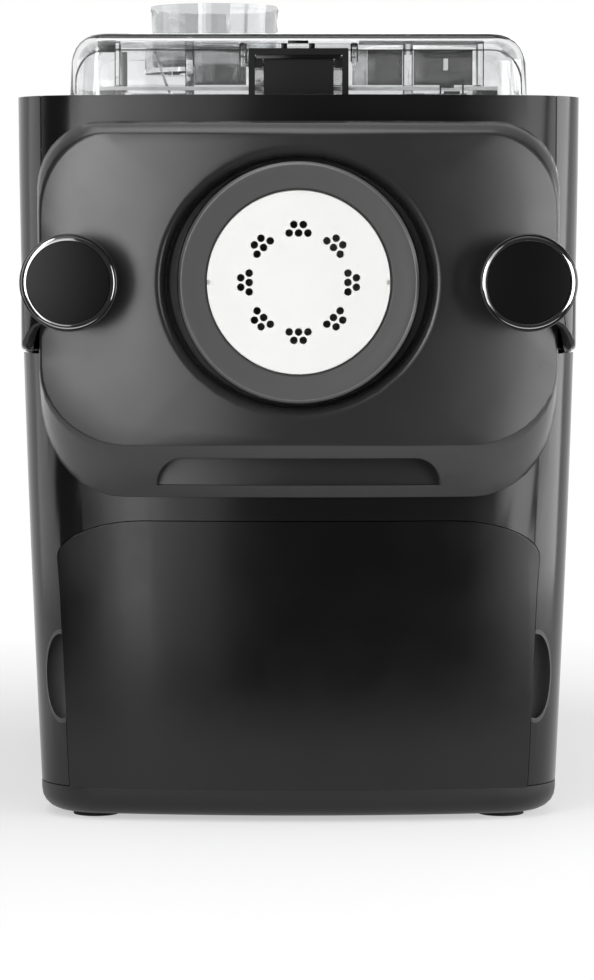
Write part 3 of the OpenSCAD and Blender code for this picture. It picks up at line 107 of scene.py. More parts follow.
class Finish:
    """A material, or a world, that is built from expressions."""

    def __init__(self, name, world=False):
        self.owner = bpy.data.worlds.new(name) if world else bpy.data.materials.new(name)
        self.owner.use_nodes = True
        self.tree = self.owner.node_tree
        self.tree.nodes.clear()
        self.place = self.node("ShaderNodeTexCoord", output="Generated" if world else "Object")

    def node(self, kind, settings=None, *values, output=0, **named):
        """Adds a node: its settings first, then the values or links of its sockets."""
        node = self.tree.nodes.new(kind)
        for key, setting in (settings or {}).items():
            if key == "stops":
                self.set_stops(node.color_ramp, setting)
            else:
                setattr(node, key, setting)
        sockets = list(zip(node.inputs, values))
        sockets += [(node.inputs[key.replace("_", " ")], value) for key, value in named.items()]
        for socket, value in sockets:
            if isinstance(value, Value):
                self.tree.links.new(value.socket, socket)
            elif value is not None:
                socket.default_value = value
        return Value(self, node.outputs[output]) if node.outputs else None

    @staticmethod
    def set_stops(ramp, stops):
        while len(ramp.elements) < len(stops):
            ramp.elements.new(1)
        for element, (position, level) in zip(ramp.elements, stops):
            element.position = position
            element.color = (level, level, level, 1)

    def axes(self, vector=None):
        """The three coordinates of a point."""
        split = self.node("ShaderNodeSeparateXYZ", None, vector or self.place)
        return [Value(self, socket) for socket in split.socket.node.outputs]

    def moved(self, middle=(0, 0, 0), scale=(1, 1, 1)):
        """Object coordinates, centred on a middle and scaled."""
        centred = self.node("ShaderNodeVectorMath", {"operation": "SUBTRACT"}, self.place, middle)
        return self.node("ShaderNodeMapping", None, centred, Scale=scale)

    def noise(self, scale, detail, vector=None):
        return self.node("ShaderNodeTexNoise", None, Vector=vector or self.place, Scale=scale, Detail=detail)

    def ramp(self, factor, *stops):
        """A level that follows the stops (position, level)."""
        return self.node("ShaderNodeValToRGB", {"stops": stops}, factor)

    def mix(self, first, second, factor):
        """One colour to another. A Mix node's colours are its inputs 6 and 7 and its output 2."""
        node = self.node("ShaderNodeMix", {"data_type": "RGBA"}, factor).socket.node
        for socket, value in ((node.inputs[6], first), (node.inputs[7], second)):
            if isinstance(value, Value):
                self.tree.links.new(value.socket, socket)
            else:
                socket.default_value = (*value, 1)
        return Value(self, node.outputs[2])

    def bump(self, height, distance, strength):
        return self.node("ShaderNodeBump", None, Height=height, Distance=distance, Strength=strength)

    def surface(self, base, roughness, **named):
        """The finished surface."""
        if not isinstance(base, Value):
            base = (*base, 1)
        shader = self.node("ShaderNodeBsdfPrincipled", None, Base_Color=base, Roughness=roughness, **named)
        self.node("ShaderNodeOutputMaterial", None, shader)
        return self.owner


def grey(level):
    return (level, level, level)


def moulded_plastic(name, tone, roughness, grain, specular=0.5, patches=None):
    """Injection-moulded plastic: an even tone, a fine grain, faint handling marks, and optional matt patches
    of painted light.
    """
    finish = Finish(name)
    cloud = finish.noise(14, 3)
    pores = finish.noise(2600, 2)
    marks = finish.ramp(finish.noise(38, 4), (0.35, 0.0), (0.75, 1.0))
    pale = tuple(channel * 1.3 + 0.0008 for channel in tone)
    colour = finish.mix(tone, pale, cloud * 0.6 + pores * 0.25)
    shine = roughness - 0.03 + marks * 0.06
    # Each patch is painted light or shade: a mask, its painted tone and its added roughness.
    for mask, patch_tone, dulling in (patches(finish) if patches else ()):
        colour = finish.mix(colour, patch_tone, mask)
        shine = shine + mask * dulling
    normal = finish.bump(pores, grain, 0.5)
    return finish.surface(colour, shine, Normal=normal, Specular_IOR_Level=specular)


def body_plastic():
    return moulded_plastic("body_plastic", (0.0045, 0.0045, 0.0048), 0.17, 0.00002, 0.42)


def scoop_painted_light(finish):
    """Painted light in the two finger scoops: a paler, matt skin, brighter towards their back, and a painted
    highlight on their rims.
    """
    x, y, z = finish.axes(finish.moved((0, SCOOP.y, SCOOP.z)))
    aside = finish.node("ShaderNodeMath", {"operation": "ABSOLUTE"}, x) - SCOOP.x
    parts = [axis / (half * MM) for axis, half in zip((aside, y, z), SCOOP_HALF)]
    reach = (parts[0] * parts[0] + parts[1] * parts[1] + parts[2] * parts[2]) ** 0.5
    # Painted light: the scoop's paler skin, brighter towards its back, and a painted highlight on its rim.
    painted_light_mask = reach.below(1.04)
    rim = reach.below(1.10) * (1 - painted_light_mask)
    depth = 0.55 + 0.45 * parts[1].larger(0)
    return (painted_light_mask * depth, grey(0.075), 0.4), (rim, grey(0.05), 0.0)


def shell_plastic():
    return moulded_plastic("shell_plastic", grey(0.0045), 0.17, 0.00002, 0.42, scoop_painted_light)


def channel_painted_light(finish):
    """Painted light in the round channel about the ring nut: a paler, matt skin, brightest just inside the
    channel's outer edge.
    """
    x, _, z = finish.axes(finish.moved((0, 0, AXIS.z)))
    across, up = x / (CHANNEL_HALF_W * MM), z / (CHANNEL_HALF_H * MM)
    # Halved, so that the channel's outer edge lies at 0.5 of the ramp
    reach = (across * across + up * up) ** 0.5
    return ((finish.ramp(reach / 2, (0.441, 0.25), (0.491, 1.0), (0.5045, 0.0)), grey(0.10), 0.1),)


def cover_plastic():
    return moulded_plastic("cover_plastic", (0.018, 0.018, 0.0187), 0.25, 0.00003, 0.6, channel_painted_light)


def fascia_plastic():
    return moulded_plastic("fascia_plastic", (0.0055, 0.0055, 0.0059), 0.20, 0.00002, 0.30)


def drawer_plastic():
    return moulded_plastic("drawer_plastic", (0.0028, 0.0028, 0.0031), 0.19, 0.00002, 0.40)


def handle_plastic():
    return moulded_plastic("handle_plastic", (0.013, 0.013, 0.0135), 0.22, 0.00002, 0.5)


def nut_plastic():
    """Grey plastic with a painted highlight along its outer edge and a painted dark shadow ring round the
    disc.
    """
    finish = Finish("nut_plastic")
    x, _, z = finish.axes(finish.moved((0, 0, AXIS.z)))
    radius = (x * x + z * z) ** 0.5
    # Painted shadow round the disc's hole, and a painted highlight just inside the outer edge.
    painted_shadow_ring = radius.below(NUT_HOLE + 0.75 * MM)
    edge = radius.above(NUT_R - 1.55 * MM) * radius.below(NUT_R - 1.0 * MM)
    cloud = finish.noise(14, 3)
    pores = finish.noise(2600, 2)
    face = finish.mix(grey(0.036), grey(0.044), cloud * 0.6 + pores * 0.3)
    colour = finish.mix(finish.mix(face, grey(0.09), edge), grey(0.002), painted_shadow_ring)
    normal = finish.bump(pores, 0.00003, 0.5)
    return finish.surface(colour, 0.42 + painted_shadow_ring * 0.4, Normal=normal, Specular_IOR_Level=1.0)


def base_plastic():
    return moulded_plastic("base_plastic", (0.007, 0.007, 0.0076), 0.40, 0.00005, 0.40)


def polished_black():
    """Polished black plastic with a trace of fine wiping marks."""
    finish = Finish("polished_black")
    wiped = finish.noise(90, 3, finish.moved(scale=(1, 1, 9)))
    shine = 0.07 + finish.ramp(wiped, (0.4, 0.0), (0.8, 1.0)) * 0.07
    colour = finish.mix(grey(0.006), grey(0.010), wiped)
    return finish.surface(colour, shine, Specular_IOR_Level=0.45)


def knob_face():
    """Satin lacquer over a turned face: faint rings round the middle of each knob."""
    finish = Finish("knob_face")
    x, _, z = finish.axes(finish.moved((0, 0, KNOB.z)))
    aside = finish.node("ShaderNodeMath", {"operation": "ABSOLUTE"}, x) - KNOB.x
    radius = (aside * aside + z * z) ** 0.5
    rings = finish.node("ShaderNodeMath", {"operation": "SINE"}, radius * 9000)
    colour = finish.mix(grey(0.0025), grey(0.005), finish.noise(60, 2) * 0.7 + rings * 0.1)
    normal = finish.bump(rings, 0.000004, 0.3)
    return finish.surface(colour, 0.3, Normal=normal, Specular_IOR_Level=0.2)


def knob_chrome():
    """Dark chrome on the bevelled rims."""
    finish = Finish("knob_chrome")
    haze = finish.noise(220, 3)
    colour = finish.mix(grey(0.34), grey(0.42), haze)
    return finish.surface(colour, 0.05 + haze * 0.05, Metallic=1.0)


def clear_plastic(name, tint, roughness):
    """Clear moulded plastic with faint flow lines and fine wear."""
    finish = Finish(name)
    flow = finish.noise(9, 2, finish.moved(scale=(1, 1, 0.3)))
    wear = finish.ramp(finish.noise(160, 4), (0.5, 0.0), (0.9, 1.0))
    colour = finish.mix(tint, tuple(channel * 0.97 for channel in tint), flow)
    normal = finish.bump(flow, 0.0004, 0.25)
    return finish.surface(colour, roughness + wear * 0.05, Normal=normal, IOR=1.49, Transmission_Weight=1.0)


def white_plastic():
    """White food-grade plastic, very slightly warm, with a soft moulding texture."""
    finish = Finish("white_plastic")
    cloud = finish.noise(35, 3)
    pores = finish.noise(1800, 2)
    colour = finish.mix((0.80, 0.80, 0.785), (0.86, 0.86, 0.85), cloud)
    return finish.surface(colour, 0.34 + cloud * 0.06, Normal=finish.bump(pores, 0.00002, 0.3))


def grey_plastic():
    return moulded_plastic("grey_plastic", (0.20, 0.20, 0.21), 0.48, 0.00006)


def rubber():
    return moulded_plastic("rubber", (0.012, 0.012, 0.012), 0.75, 0.00008, 0.3)


def seal_rubber():
    return moulded_plastic("seal_rubber", (0.66, 0.66, 0.65), 0.6, 0.00003, 0.4)


def brushed_steel():
    """Steel with fine lines along the length of the machine."""
    finish = Finish("brushed_steel")
    lines = finish.noise(500, 3, finish.moved(scale=(1, 0.03, 1)))
    colour = finish.mix(grey(0.42), grey(0.56), lines)
    return finish.surface(colour, 0.22 + lines * 0.16, Metallic=1.0, Normal=finish.bump(lines, 0.00001, 0.4))


def cast_metal():
    """Cast aluminium with a sandy skin."""
    finish = Finish("cast_metal")
    sand = finish.noise(700, 4)
    colour = finish.mix(grey(0.38), grey(0.52), sand)
    return finish.surface(colour, 0.42 + sand * 0.12, Metallic=1.0, Normal=finish.bump(sand, 0.00008, 0.6))


def gear_plastic():
    return moulded_plastic("gear_plastic", (0.62, 0.57, 0.42), 0.36, 0.00003)


def machined_brass():
    """Brass with turning marks."""
    finish = Finish("machined_brass")
    lines = finish.noise(900, 2, finish.moved(scale=(0.1, 1, 0.1)))
    colour = finish.mix((0.56, 0.40, 0.15), (0.66, 0.50, 0.22), lines)
    return finish.surface(colour, 0.2 + lines * 0.12, Metallic=1.0)


def circuit_board():
    """Green lacquer over copper tracks."""
    finish = Finish("circuit_board")
    cells = finish.noise(220, 0)
    tracks = finish.ramp(cells, (0.47, 0.0), (0.49, 1.0), (0.51, 1.0), (0.53, 0.0))
    colour = finish.mix((0.012, 0.085, 0.035), (0.03, 0.16, 0.06), tracks)
    return finish.surface(colour, 0.3, Normal=finish.bump(tracks, 0.00003, 0.6))


def panel_gloss():
    """Glossy black of the control panel."""
    finish = Finish("panel_gloss")
    dust = finish.ramp(finish.noise(400, 4), (0.55, 0.0), (0.85, 1.0))
    return finish.surface(finish.mix(grey(0.005), grey(0.012), dust), 0.06 + dust * 0.1)


def button_plastic(name, tone):
    return moulded_plastic(name, tone, 0.24, 0.00001)


FINISH = {
    "dark_plastic": body_plastic(),
    "gloss_black": polished_black(),
    "knob_face": knob_face(),
    "knob_metal": knob_chrome(),
    "clear": clear_plastic("clear_plastic", (0.90, 0.905, 0.91), 0.02),
    "white_plastic": white_plastic(),
    "grey_plastic": grey_plastic(),
    "rubber": rubber(),
    "seal": seal_rubber(),
    "steel": brushed_steel(),
    "plate_metal": cast_metal(),
    "gear_plastic": gear_plastic(),
    "brass": machined_brass(),
    "board": circuit_board(),
    "panel": panel_gloss(),
    "power_red": button_plastic("power_button_red", (0.36, 0.035, 0.028)),
    "button_grey": button_plastic("button_grey", (0.11, 0.11, 0.12)),
}
NODE_FINISH = {"measuring_cup": clear_plastic("cup_plastic", (0.66, 0.67, 0.675), 0.03),
               "front_cover": cover_plastic(), "ring_nut": nut_plastic(), "base_pan": base_plastic(),
               "drawer_front": drawer_plastic(), "front_frame": fascia_plastic(),
               "outer_shell": shell_plastic(), "lid_handle": handle_plastic()}
NODE_FINISH["latch_lever"] = NODE_FINISH["lid_handle"]


def icon_print():
    return moulded_plastic("icon_print", (0.50, 0.50, 0.51), 0.42, 0.00001)


def display_glow():
    """Lit segments behind the display window."""
    finish = Finish("display_glow")
    glow = finish.mix((0.62, 0.83, 0.95), (0.78, 0.92, 1.0), finish.noise(300, 1))
    return finish.surface((0.05, 0.06, 0.07), 0.2, Emission_Color=glow, Emission_Strength=0.9)


SMOKED = clear_plastic("smoked_plastic", grey(0.09), 0.05)
HAZED = clear_plastic("hazed_plastic", grey(0.52), 0.05)
# Nearly black clear plastic, for the strips of painted shade inside the lid.
PAINTED_SHADE = clear_plastic("painted_shade_plastic", grey(0.012), 0.05)


def paint(piece, material):
    """Gives a piece one material all over."""
    if not piece.material_slots:
        piece.data.materials.append(material)
    for material_slot in piece.material_slots:
        material_slot.material = material


# ---- Pieces: shared steps ----
def select_only(piece):
    bpy.ops.object.select_all(action="DESELECT")
    piece.select_set(True)
    bpy.context.view_layer.objects.active = piece


def edit(piece, *steps):
    """Runs edit-mode steps on a whole piece."""
    select_only(piece)
    bpy.ops.object.mode_set(mode="EDIT")
    bpy.ops.mesh.select_all(action="SELECT")
    for step in steps:
        step()
    bpy.ops.object.mode_set(mode="OBJECT")


def merge_doubles():
    bpy.ops.mesh.customdata_custom_splitnormals_clear()
    bpy.ops.mesh.remove_doubles(threshold=0.002 * MM)


def smooth(piece):
    """Smooth shading across every edge flatter than 32 degrees."""
    select_only(piece)
    bpy.ops.object.shade_smooth_by_angle(angle=math.radians(32), keep_sharp_edges=False)


def apply_modifier(piece, kind, **settings):
    """Adds one modifier and applies it."""
    select_only(piece)
    modifier = piece.modifiers.new(kind.title(), kind)
    for key, value in settings.items():
        setattr(modifier, key, value)
    bpy.ops.object.modifier_apply(modifier=modifier.name)


def fit(piece, body, slot, material=None):
    """Mounts a finished piece on its body, with its finish."""
    paint(piece, material or FINISH[slot])
    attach(piece, body)
    return piece


def dress(node, bevel):
    """Replaces a CAD node by a copy with its doubles merged, its edges softened and its curves smooth."""
    mesh = NODES[node].data.copy()
    piece = bpy.data.objects.new(f"{node}_skin", mesh)
    bpy.context.scene.collection.objects.link(piece)
    edit(piece, merge_doubles)
    if bevel:
        apply_modifier(piece, "BEVEL", width=bevel * MM, segments=2, limit_method="ANGLE",
                       angle_limit=math.radians(40), use_clamp_overlap=True, harden_normals=False)
    smooth(piece)
    apply_modifier(piece, "WEIGHTED_NORMAL", keep_sharp=True)
    fit(piece, BODY_OF[node], SLOT_OF[node], NODE_FINISH.get(node))
    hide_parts(node)


def block(name, low, high, bevel):
    """A cube set between two corners in millimetres, with its edges bevelled."""
    low, high = Vector(low) * MM, Vector(high) * MM
    bpy.ops.object.select_all(action="DESELECT")
    bpy.ops.mesh.primitive_cube_add(size=1, location=(low + high) / 2, scale=high - low)
    piece = bpy.context.object
    piece.name = name
    bpy.ops.object.transform_apply(location=True, rotation=True, scale=True)
    if bevel:
        edit(piece, lambda: bpy.ops.mesh.bevel(offset=bevel * MM, segments=2, affect="EDGES"))
    smooth(piece)
    return piece


def twin(piece, name, shift):
    """A second piece with a mesh of its own, moved by some millimetres."""
    copy = piece.copy()
    copy.data = piece.data.copy()
    copy.name = name
    bpy.context.scene.collection.objects.link(copy)
    edit(copy, lambda: bpy.ops.transform.translate(value=Vector(shift) * MM))
    return copy


def turned(name, middle, profile):
    """A circle that faces the front, drawn out from one radius and depth (mm) to the next."""
    bpy.ops.object.select_all(action="DESELECT")
    radius, depth = profile[0]
    bpy.ops.mesh.primitive_circle_add(vertices=128, radius=radius * MM, rotation=(math.radians(90), 0, 0),
                                      location=middle - Vector((0, depth * MM, 0)))
    piece = bpy.context.object
    piece.name = name
    bpy.ops.object.transform_apply(location=True, rotation=True, scale=True)

    def draw_out():
        for (radius, depth), (next_radius, next_depth) in zip(profile, profile[1:]):
            grow = next_radius / radius
            bpy.ops.mesh.extrude_region()
            bpy.ops.transform.resize(value=(grow, 1, grow), center_override=middle)
            bpy.ops.transform.translate(value=(0, (depth - next_depth) * MM, 0))
        bpy.ops.mesh.select_all(action="SELECT")
        bpy.ops.mesh.remove_doubles(threshold=0.001 * MM)
        bpy.ops.mesh.fill_holes(sides=0)
        bpy.ops.mesh.normals_make_consistent(inside=False)

    edit(piece, draw_out)
    smooth(piece)
    return piece


# The bevel of each copy's edges, in millimetres; 0 leaves the edges as they are
DRESSED = {"outer_shell": 0, "front_frame": 0.35, "base_pan": 0, "front_cover": 0.3, "drawer_front": 0.35,
           "top_deck": 0, "lid": 0, "left_arm": 0, "right_arm": 0, "extrusion_screw": 0,
           "measuring_cup": 0, "mixing_bowl": 0, "ring_nut": 0.4, "shaping_disc": 0}
for name, node in NODES.items():
    paint(node, NODE_FINISH.get(name) or FINISH[SLOT_OF[name]])
for name, bevel in DRESSED.items():
    dress(name, bevel)


# ---- Clamp knobs: a slightly domed face, a bright coned ring and a black collar ----
DOME = 0.75
RING_W = 1.7
COLLAR_W = 2.9


def knob_face_profile():
    """Straight wall, then a shallow dome to the middle."""
    dome = [(KNOB_R * (1 - step / 8), KNOB_L - DOME * (1 - step / 8) ** 2) for step in range(8)]
    wall = [(KNOB_R - 0.1, 0), (KNOB_R - 0.1, KNOB_L - DOME - 0.3)]
    return wall + [(KNOB_R - 0.25, KNOB_L - DOME)] + dome[1:]


def knob_ring_profile():
    """A cone that grows steeper towards its outer edge."""
    front = KNOB_L - DOME + 0.25
    points = [(KNOB_R, 0.7), (KNOB_R, front - 0.15), (KNOB_R + 0.12, front)]
    for step in range(1, 8):
        radius = KNOB_R + 0.12 + (RING_W - 0.12) * step / 7
        slope = math.tan(math.radians(3 + 2.6 * step))
        points.append((radius, points[-1][1] - slope * (RING_W - 0.12) / 7))
    return points + [(KNOB_R + RING_W, 0.7), (KNOB_R, 0.7)]


def knob_collar_profile():
    """A rounded black band outside the ring."""
    inner, outer = KNOB_R + RING_W, KNOB_R + COLLAR_W
    front = knob_ring_profile()[-3][1] - 0.12
    round_r = 0.8
    turns = [math.radians(turn) for turn in (15, 35, 55, 75, 90)]
    round_off = [(outer - round_r * (1 - math.sin(turn)), front - round_r * (1 - math.cos(turn)))
                 for turn in turns]
    return [(inner, 1.2), (inner, front)] + round_off + [(outer, 2.2), (outer - 0.6, 1.2), (inner, 1.2)]


def dress_knobs():
    parts = (("knob_face", knob_face_profile(), "knob", "knob_face"),
             ("knob_ring", knob_ring_profile(), "knob_rim", "knob_metal"),
             ("knob_collar", knob_collar_profile(), None, "gloss_black"))
    middle = Vector((KNOB.x, KNOB_HIGH.y, KNOB.z))
    for name, profile, node, slot in parts:
        right = turned(f"right_{name}", middle, profile)
        left = twin(right, f"left_{name}", (-2 * KNOB.x / MM, 0, 0))
        for side, piece in (("right", right), ("left", left)):
            fit(piece, BODY_OF[f"{side}_knob"], slot)
            if node:
                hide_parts(f"{side}_{node}")


dress_knobs()


# ---- Lid: the ribs, baffles and clips that show through its clear wall ----
WALL_IN = LID_FRONT + 2.8
FACE_LOW = BODY_TOP + 4.9
FACE_HIGH = BODY_TOP + 19.8
RIB_TOP = BODY_TOP + 23
WINDOW_HALF_W = 95.4
WINDOW_R = 13
BEAD_W = 0.5
HOOK_SPACING = 47.4
STAY_LEAN = 6.2


def lid_piece(name, x, y, z, material, bevel=0.25, slot="clear"):
    piece = block(name, (x[0], y[0], z[0]), (x[1], y[1], z[1]), bevel)
    return fit(piece, BODY_OF["lid"], slot, material)


def round_window(name, inset, y):
    """A plate with round upper corners, as wide as the lid's front window less an inset."""
    half = WINDOW_HALF_W - inset
    piece = block(name, (-half, y[0], BODY_TOP + 0.8), (half, y[1], FACE_HIGH - inset), 0)
    edit(piece, lambda: bpy.ops.mesh.select_mode(type="EDGE"),
         lambda: bpy.ops.mesh.select_all(action="DESELECT"))
    for edge in piece.data.edges:
        ends = [piece.data.vertices[index].co for index in edge.vertices]
        edge.select = abs(ends[0].y - ends[1].y) > 1 * MM and ends[0].z > (FACE_HIGH - 2) * MM
    bpy.ops.object.mode_set(mode="EDIT")
    bpy.ops.mesh.bevel(offset=(WINDOW_R - inset) * MM, segments=10, affect="EDGES")
    bpy.ops.object.mode_set(mode="OBJECT")
    return piece


def lid_window_bead():
    """The bead that outlines the flat front window of the lid."""
    bead = round_window("lid_window_bead", 0, (WALL_IN + 0.2, WALL_IN + 1.8))
    cutter = round_window("lid_window_cutter", BEAD_W, (WALL_IN - 2, WALL_IN + 4))
    top = Vector((0, 0, FACE_HIGH - BEAD_W)) * MM
    edit(cutter, lambda: bpy.ops.transform.resize(value=(1, 1, 1.1), center_override=top))
    apply_modifier(bead, "BOOLEAN", operation="DIFFERENCE", object=cutter, solver="EXACT")
    bpy.data.objects.remove(cutter)
    smooth(bead)
    fit(bead, BODY_OF["lid"], "clear", SMOKED)


def lid_ribs():
    """Upright ribs behind the front wall."""
    deep = (WALL_IN + 1.8, WALL_IN + 22)
    tall = (BODY_TOP + 1, RIB_TOP)
    for name, low, high in (("outer_left", -78.6, -76.2), ("inner_left", -48.4, -44.8),
                            ("inner_right", 44.7, 48.8), ("outer_right", 76.1, 79.2)):
        lid_piece(f"lid_rib_{name}", (low, high), deep, tall, None)
        # Thin dark strips along both sides of each rib: painted shade for the dark lines a clear rib shows.
        for side, start in (("low", low), ("high", high - 0.5)):
            lid_piece(f"lid_rib_{name}_{side}", (start, start + 0.5), (WALL_IN + 1.7, WALL_IN + 2.4), tall,
                      PAINTED_SHADE, 0.1)
    lid_piece("lid_rib_shade", (-75.8, -73.2), (WALL_IN + 2, WALL_IN + 4), (BODY_TOP + 1.6, FACE_HIGH - 1),
              PAINTED_SHADE)


def lid_baffles():
    """Walls of the flour and water openings, one layer behind the front wall; their grey and smoked tints,
    the tints behind the handle's gaps and the dark strips at the left corner and top edge are painted shade.
    """
    layer = (WALL_IN + 3, WALL_IN + 4.6)
    tall = (FACE_LOW, FACE_HIGH)
    lid_piece("lid_baffle_left", (-44.6, -22.4), layer, (FACE_LOW, FACE_HIGH + 1.4), HAZED)
    lid_piece("lid_baffle_inner", (23, 29.2), layer, tall, HAZED)
    lid_piece("lid_baffle_middle", (29.4, 44.4), layer, tall, SMOKED)
    lid_piece("lid_baffle_right", (49.2, 74.4), layer, tall, SMOKED)
    # Tinted panels behind the gaps at the handle's sides: painted shade.
    for side, start in (("left", -18.8), ("right", 14.8)):
        lid_piece(f"lid_handle_tint_{side}", (start, start + 4), layer,
                  (BODY_TOP + 1.2, FACE_LOW + 10), HAZED)
    lid_piece("lid_corner_shade", (-85.8, -78.2), (WALL_IN + 4, WALL_IN + 6),
              (BODY_TOP + 18.8, BODY_TOP + 24), PAINTED_SHADE)
    lid_piece("lid_edge_shade", (25.8, 79), (WALL_IN + 5, WALL_IN + 7), (BODY_TOP + 22.2, BODY_TOP + 24.4),
              PAINTED_SHADE)


def lid_clips():
    """Clear hooks at both sides of the handle, and its black catch; dark strips at the hooks' edges and under
    the handle's bar are painted shade.
    """
    hook = lid_piece("lid_hook_left", (-25.2, -22.2), (LID_FRONT - 1, LID_FRONT + 3),
                     (BODY_TOP + 14, BODY_TOP + 22.6), None, 0.7)
    # Thin dark strips at the edges of both hooks: painted shade.
    for name, start in (("low", -25.3), ("high", -22.7)):
        edge = lid_piece(f"lid_hook_edge_{name}", (start, start + 0.6), (LID_FRONT - 1.3, LID_FRONT - 0.6),
                         (BODY_TOP + 14.6, BODY_TOP + 22), PAINTED_SHADE, 0.15)
        twin(edge, f"lid_hook_edge_right_{name}", (HOOK_SPACING, 0, 0))
    twin(hook, "lid_hook_right", (HOOK_SPACING, 0, 0))
    for side, foot in (("left", -24.6), ("right", HOOK_SPACING - 24.6)):
        lid_piece(f"lid_hook_foot_{side}", (foot, foot + 1.6), (LID_FRONT - 1.4, LID_FRONT + 1),
                  (BODY_TOP + 12, BODY_TOP + 17), None, 0.5)
    low, high = BODY_TOP + 20.2, BODY_TOP + 23.6
    lid_piece("handle_catch", (-4.6, 4.2), (LID_FRONT - 1, LID_FRONT + 1.4), (high - 1.3, high),
              FINISH["dark_plastic"], 0.3, "dark_plastic")
    for name, low_x in (("left", -7.4), ("right", 4.4)):
        lid_piece(f"handle_catch_{name}", (low_x, low_x + 2.6), (LID_FRONT - 1, LID_FRONT + 1.4),
                  (low, low + 2.2), FINISH["dark_plastic"], 0.3, "dark_plastic")
    # A dark strip under the handle's bar: a painted shadow line.
    lid_piece("handle_painted_shadow", (-18.2, 18.2), (LID_FRONT - 2, LID_FRONT - 0.6),
              (BODY_TOP + 15.6, BODY_TOP + 17.6), FINISH["dark_plastic"], 0.3, "dark_plastic")


def lid_interlock():
    """The small tab that presses the safety switch, and the rod above it."""
    layer = (WALL_IN + 0.6, WALL_IN + 1.4)
    lid_piece("interlock_rod", (61.8, 63.8), (WALL_IN + 0.4, WALL_IN + 1.4), (BODY_TOP + 11, BODY_TOP + 16),
              FINISH["white_plastic"], 0.3, "white_plastic")
    for name, x, z in (("foot", (60.2, 66.4), (3.6, 5.0)), ("post", (69.8, 70.6), (1, 8.2)),
                       ("bar", (65.4, 70.6), (5.8, 6.6)), ("stub", (60.2, 61.0), (1, 5)),
                       ("base", (62, 69), (1, 2.2))):
        lid_piece(f"interlock_{name}", x, layer, [BODY_TOP + level for level in z],
                  FINISH["gloss_black"], 0.15, "gloss_black")


def lid_stay():
    """A slanting stay inside the left part of the lid."""
    piece = block("lid_stay", (-55.8, WALL_IN + 2, BODY_TOP + 1.4), (-54.6, WALL_IN + 3, FACE_HIGH - 1), 0.2)
    select_only(piece)
    for vertex in piece.data.vertices:
        vertex.select = vertex.co.z > (BODY_TOP + 10) * MM
    for polygon in piece.data.polygons:
        polygon.select = all(piece.data.vertices[index].select for index in polygon.vertices)
    for side in piece.data.edges:
        side.select = all(piece.data.vertices[index].select for index in side.vertices)
    bpy.ops.object.mode_set(mode="EDIT")
    bpy.ops.transform.translate(value=(-STAY_LEAN * MM, 0, 0))
    bpy.ops.object.mode_set(mode="OBJECT")
    fit(piece, BODY_OF["lid"], "clear", HAZED)


lid_window_bead()
lid_ribs()
lid_baffles()
lid_clips()
lid_interlock()
lid_stay()


# ---- Controls: the marks on the four buttons and the digits of the display ----
MARK = icon_print()
GLOW = display_glow()


def button_top(node):
    """The middle of a button's top face, in millimetres."""
    low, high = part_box(node)
    return Vector(((low.x + high.x) / 2, (low.y + high.y) / 2, high.z)) / MM


def flat_bar(name, middle, size, material, body, slot):
    """A low bar, half let into the face it lies on."""
    half = Vector((size[0] / 2, size[1] / 2, 0.14))
    return fit(block(name, middle - half, middle + half, 0.06), body, slot, material)


def power_mark():
    """An open ring with a bar in its gap."""
    middle = button_top("power_button")
    bpy.ops.object.select_all(action="DESELECT")
    bpy.ops.mesh.primitive_torus_add(major_radius=3.6 * MM, minor_radius=0.36 * MM, major_segments=72,
                                     minor_segments=10, location=middle * MM)
    ring = bpy.context.object
    ring.name = "power_mark_ring"
    bpy.ops.object.transform_apply(location=True, rotation=True, scale=True)
    edit(ring, lambda: bpy.ops.mesh.select_all(action="DESELECT"))
    for vertex in ring.data.vertices:
        aside, ahead, _ = vertex.co / MM - middle
        vertex.select = abs(aside) < 1.3 and ahead > 0
    bpy.ops.object.mode_set(mode="EDIT")
    bpy.ops.mesh.select_mode(type="VERT")
    bpy.ops.mesh.delete(type="VERT")
    bpy.ops.mesh.select_all(action="SELECT")
    bpy.ops.mesh.fill_holes(sides=0)
    bpy.ops.object.mode_set(mode="OBJECT")
    smooth(ring)
    fit(ring, BODY_OF["power_button"], SLOT_OF["power_button"], MARK)
    flat_bar("power_mark_bar", middle + Vector((0, 2.9, 0)), (0.75, 3.2), MARK, BODY_OF["power_button"],
             SLOT_OF["power_button"])


def start_mark():
    """A triangle that points to the right."""
    middle = button_top("start_button")
    bpy.ops.object.select_all(action="DESELECT")
    bpy.ops.mesh.primitive_cylinder_add(vertices=3, radius=3.2 * MM, depth=0.28 * MM, location=middle * MM,
                                        rotation=(0, 0, math.radians(-90)))
    mark = bpy.context.object
    mark.name = "start_mark"
    bpy.ops.object.transform_apply(location=True, rotation=True, scale=True)
    edit(mark, lambda: bpy.ops.mesh.bevel(offset=0.08 * MM, segments=2, affect="EDGES"))
    smooth(mark)
    fit(mark, BODY_OF["start_button"], SLOT_OF["start_button"], MARK)


def level_marks():
    """Plus and minus."""
    for node, bars in (("plus_button", ((4.2, 0.8), (0.8, 4.2))), ("minus_button", ((4.2, 0.8),))):
        for number, size in enumerate(bars):
            flat_bar(f"{node}_mark_{number}", button_top(node), size, MARK, BODY_OF[node], SLOT_OF[node])


SEGMENTS = {"0": "abcdef", "3": "abcdg", ":": ("upper dot", "lower dot")}
DIGIT_HALF_W, DIGIT_HALF_H = 2.6, 4.9
DIGIT_PITCH = 8.2
DOT_UP = 2.2


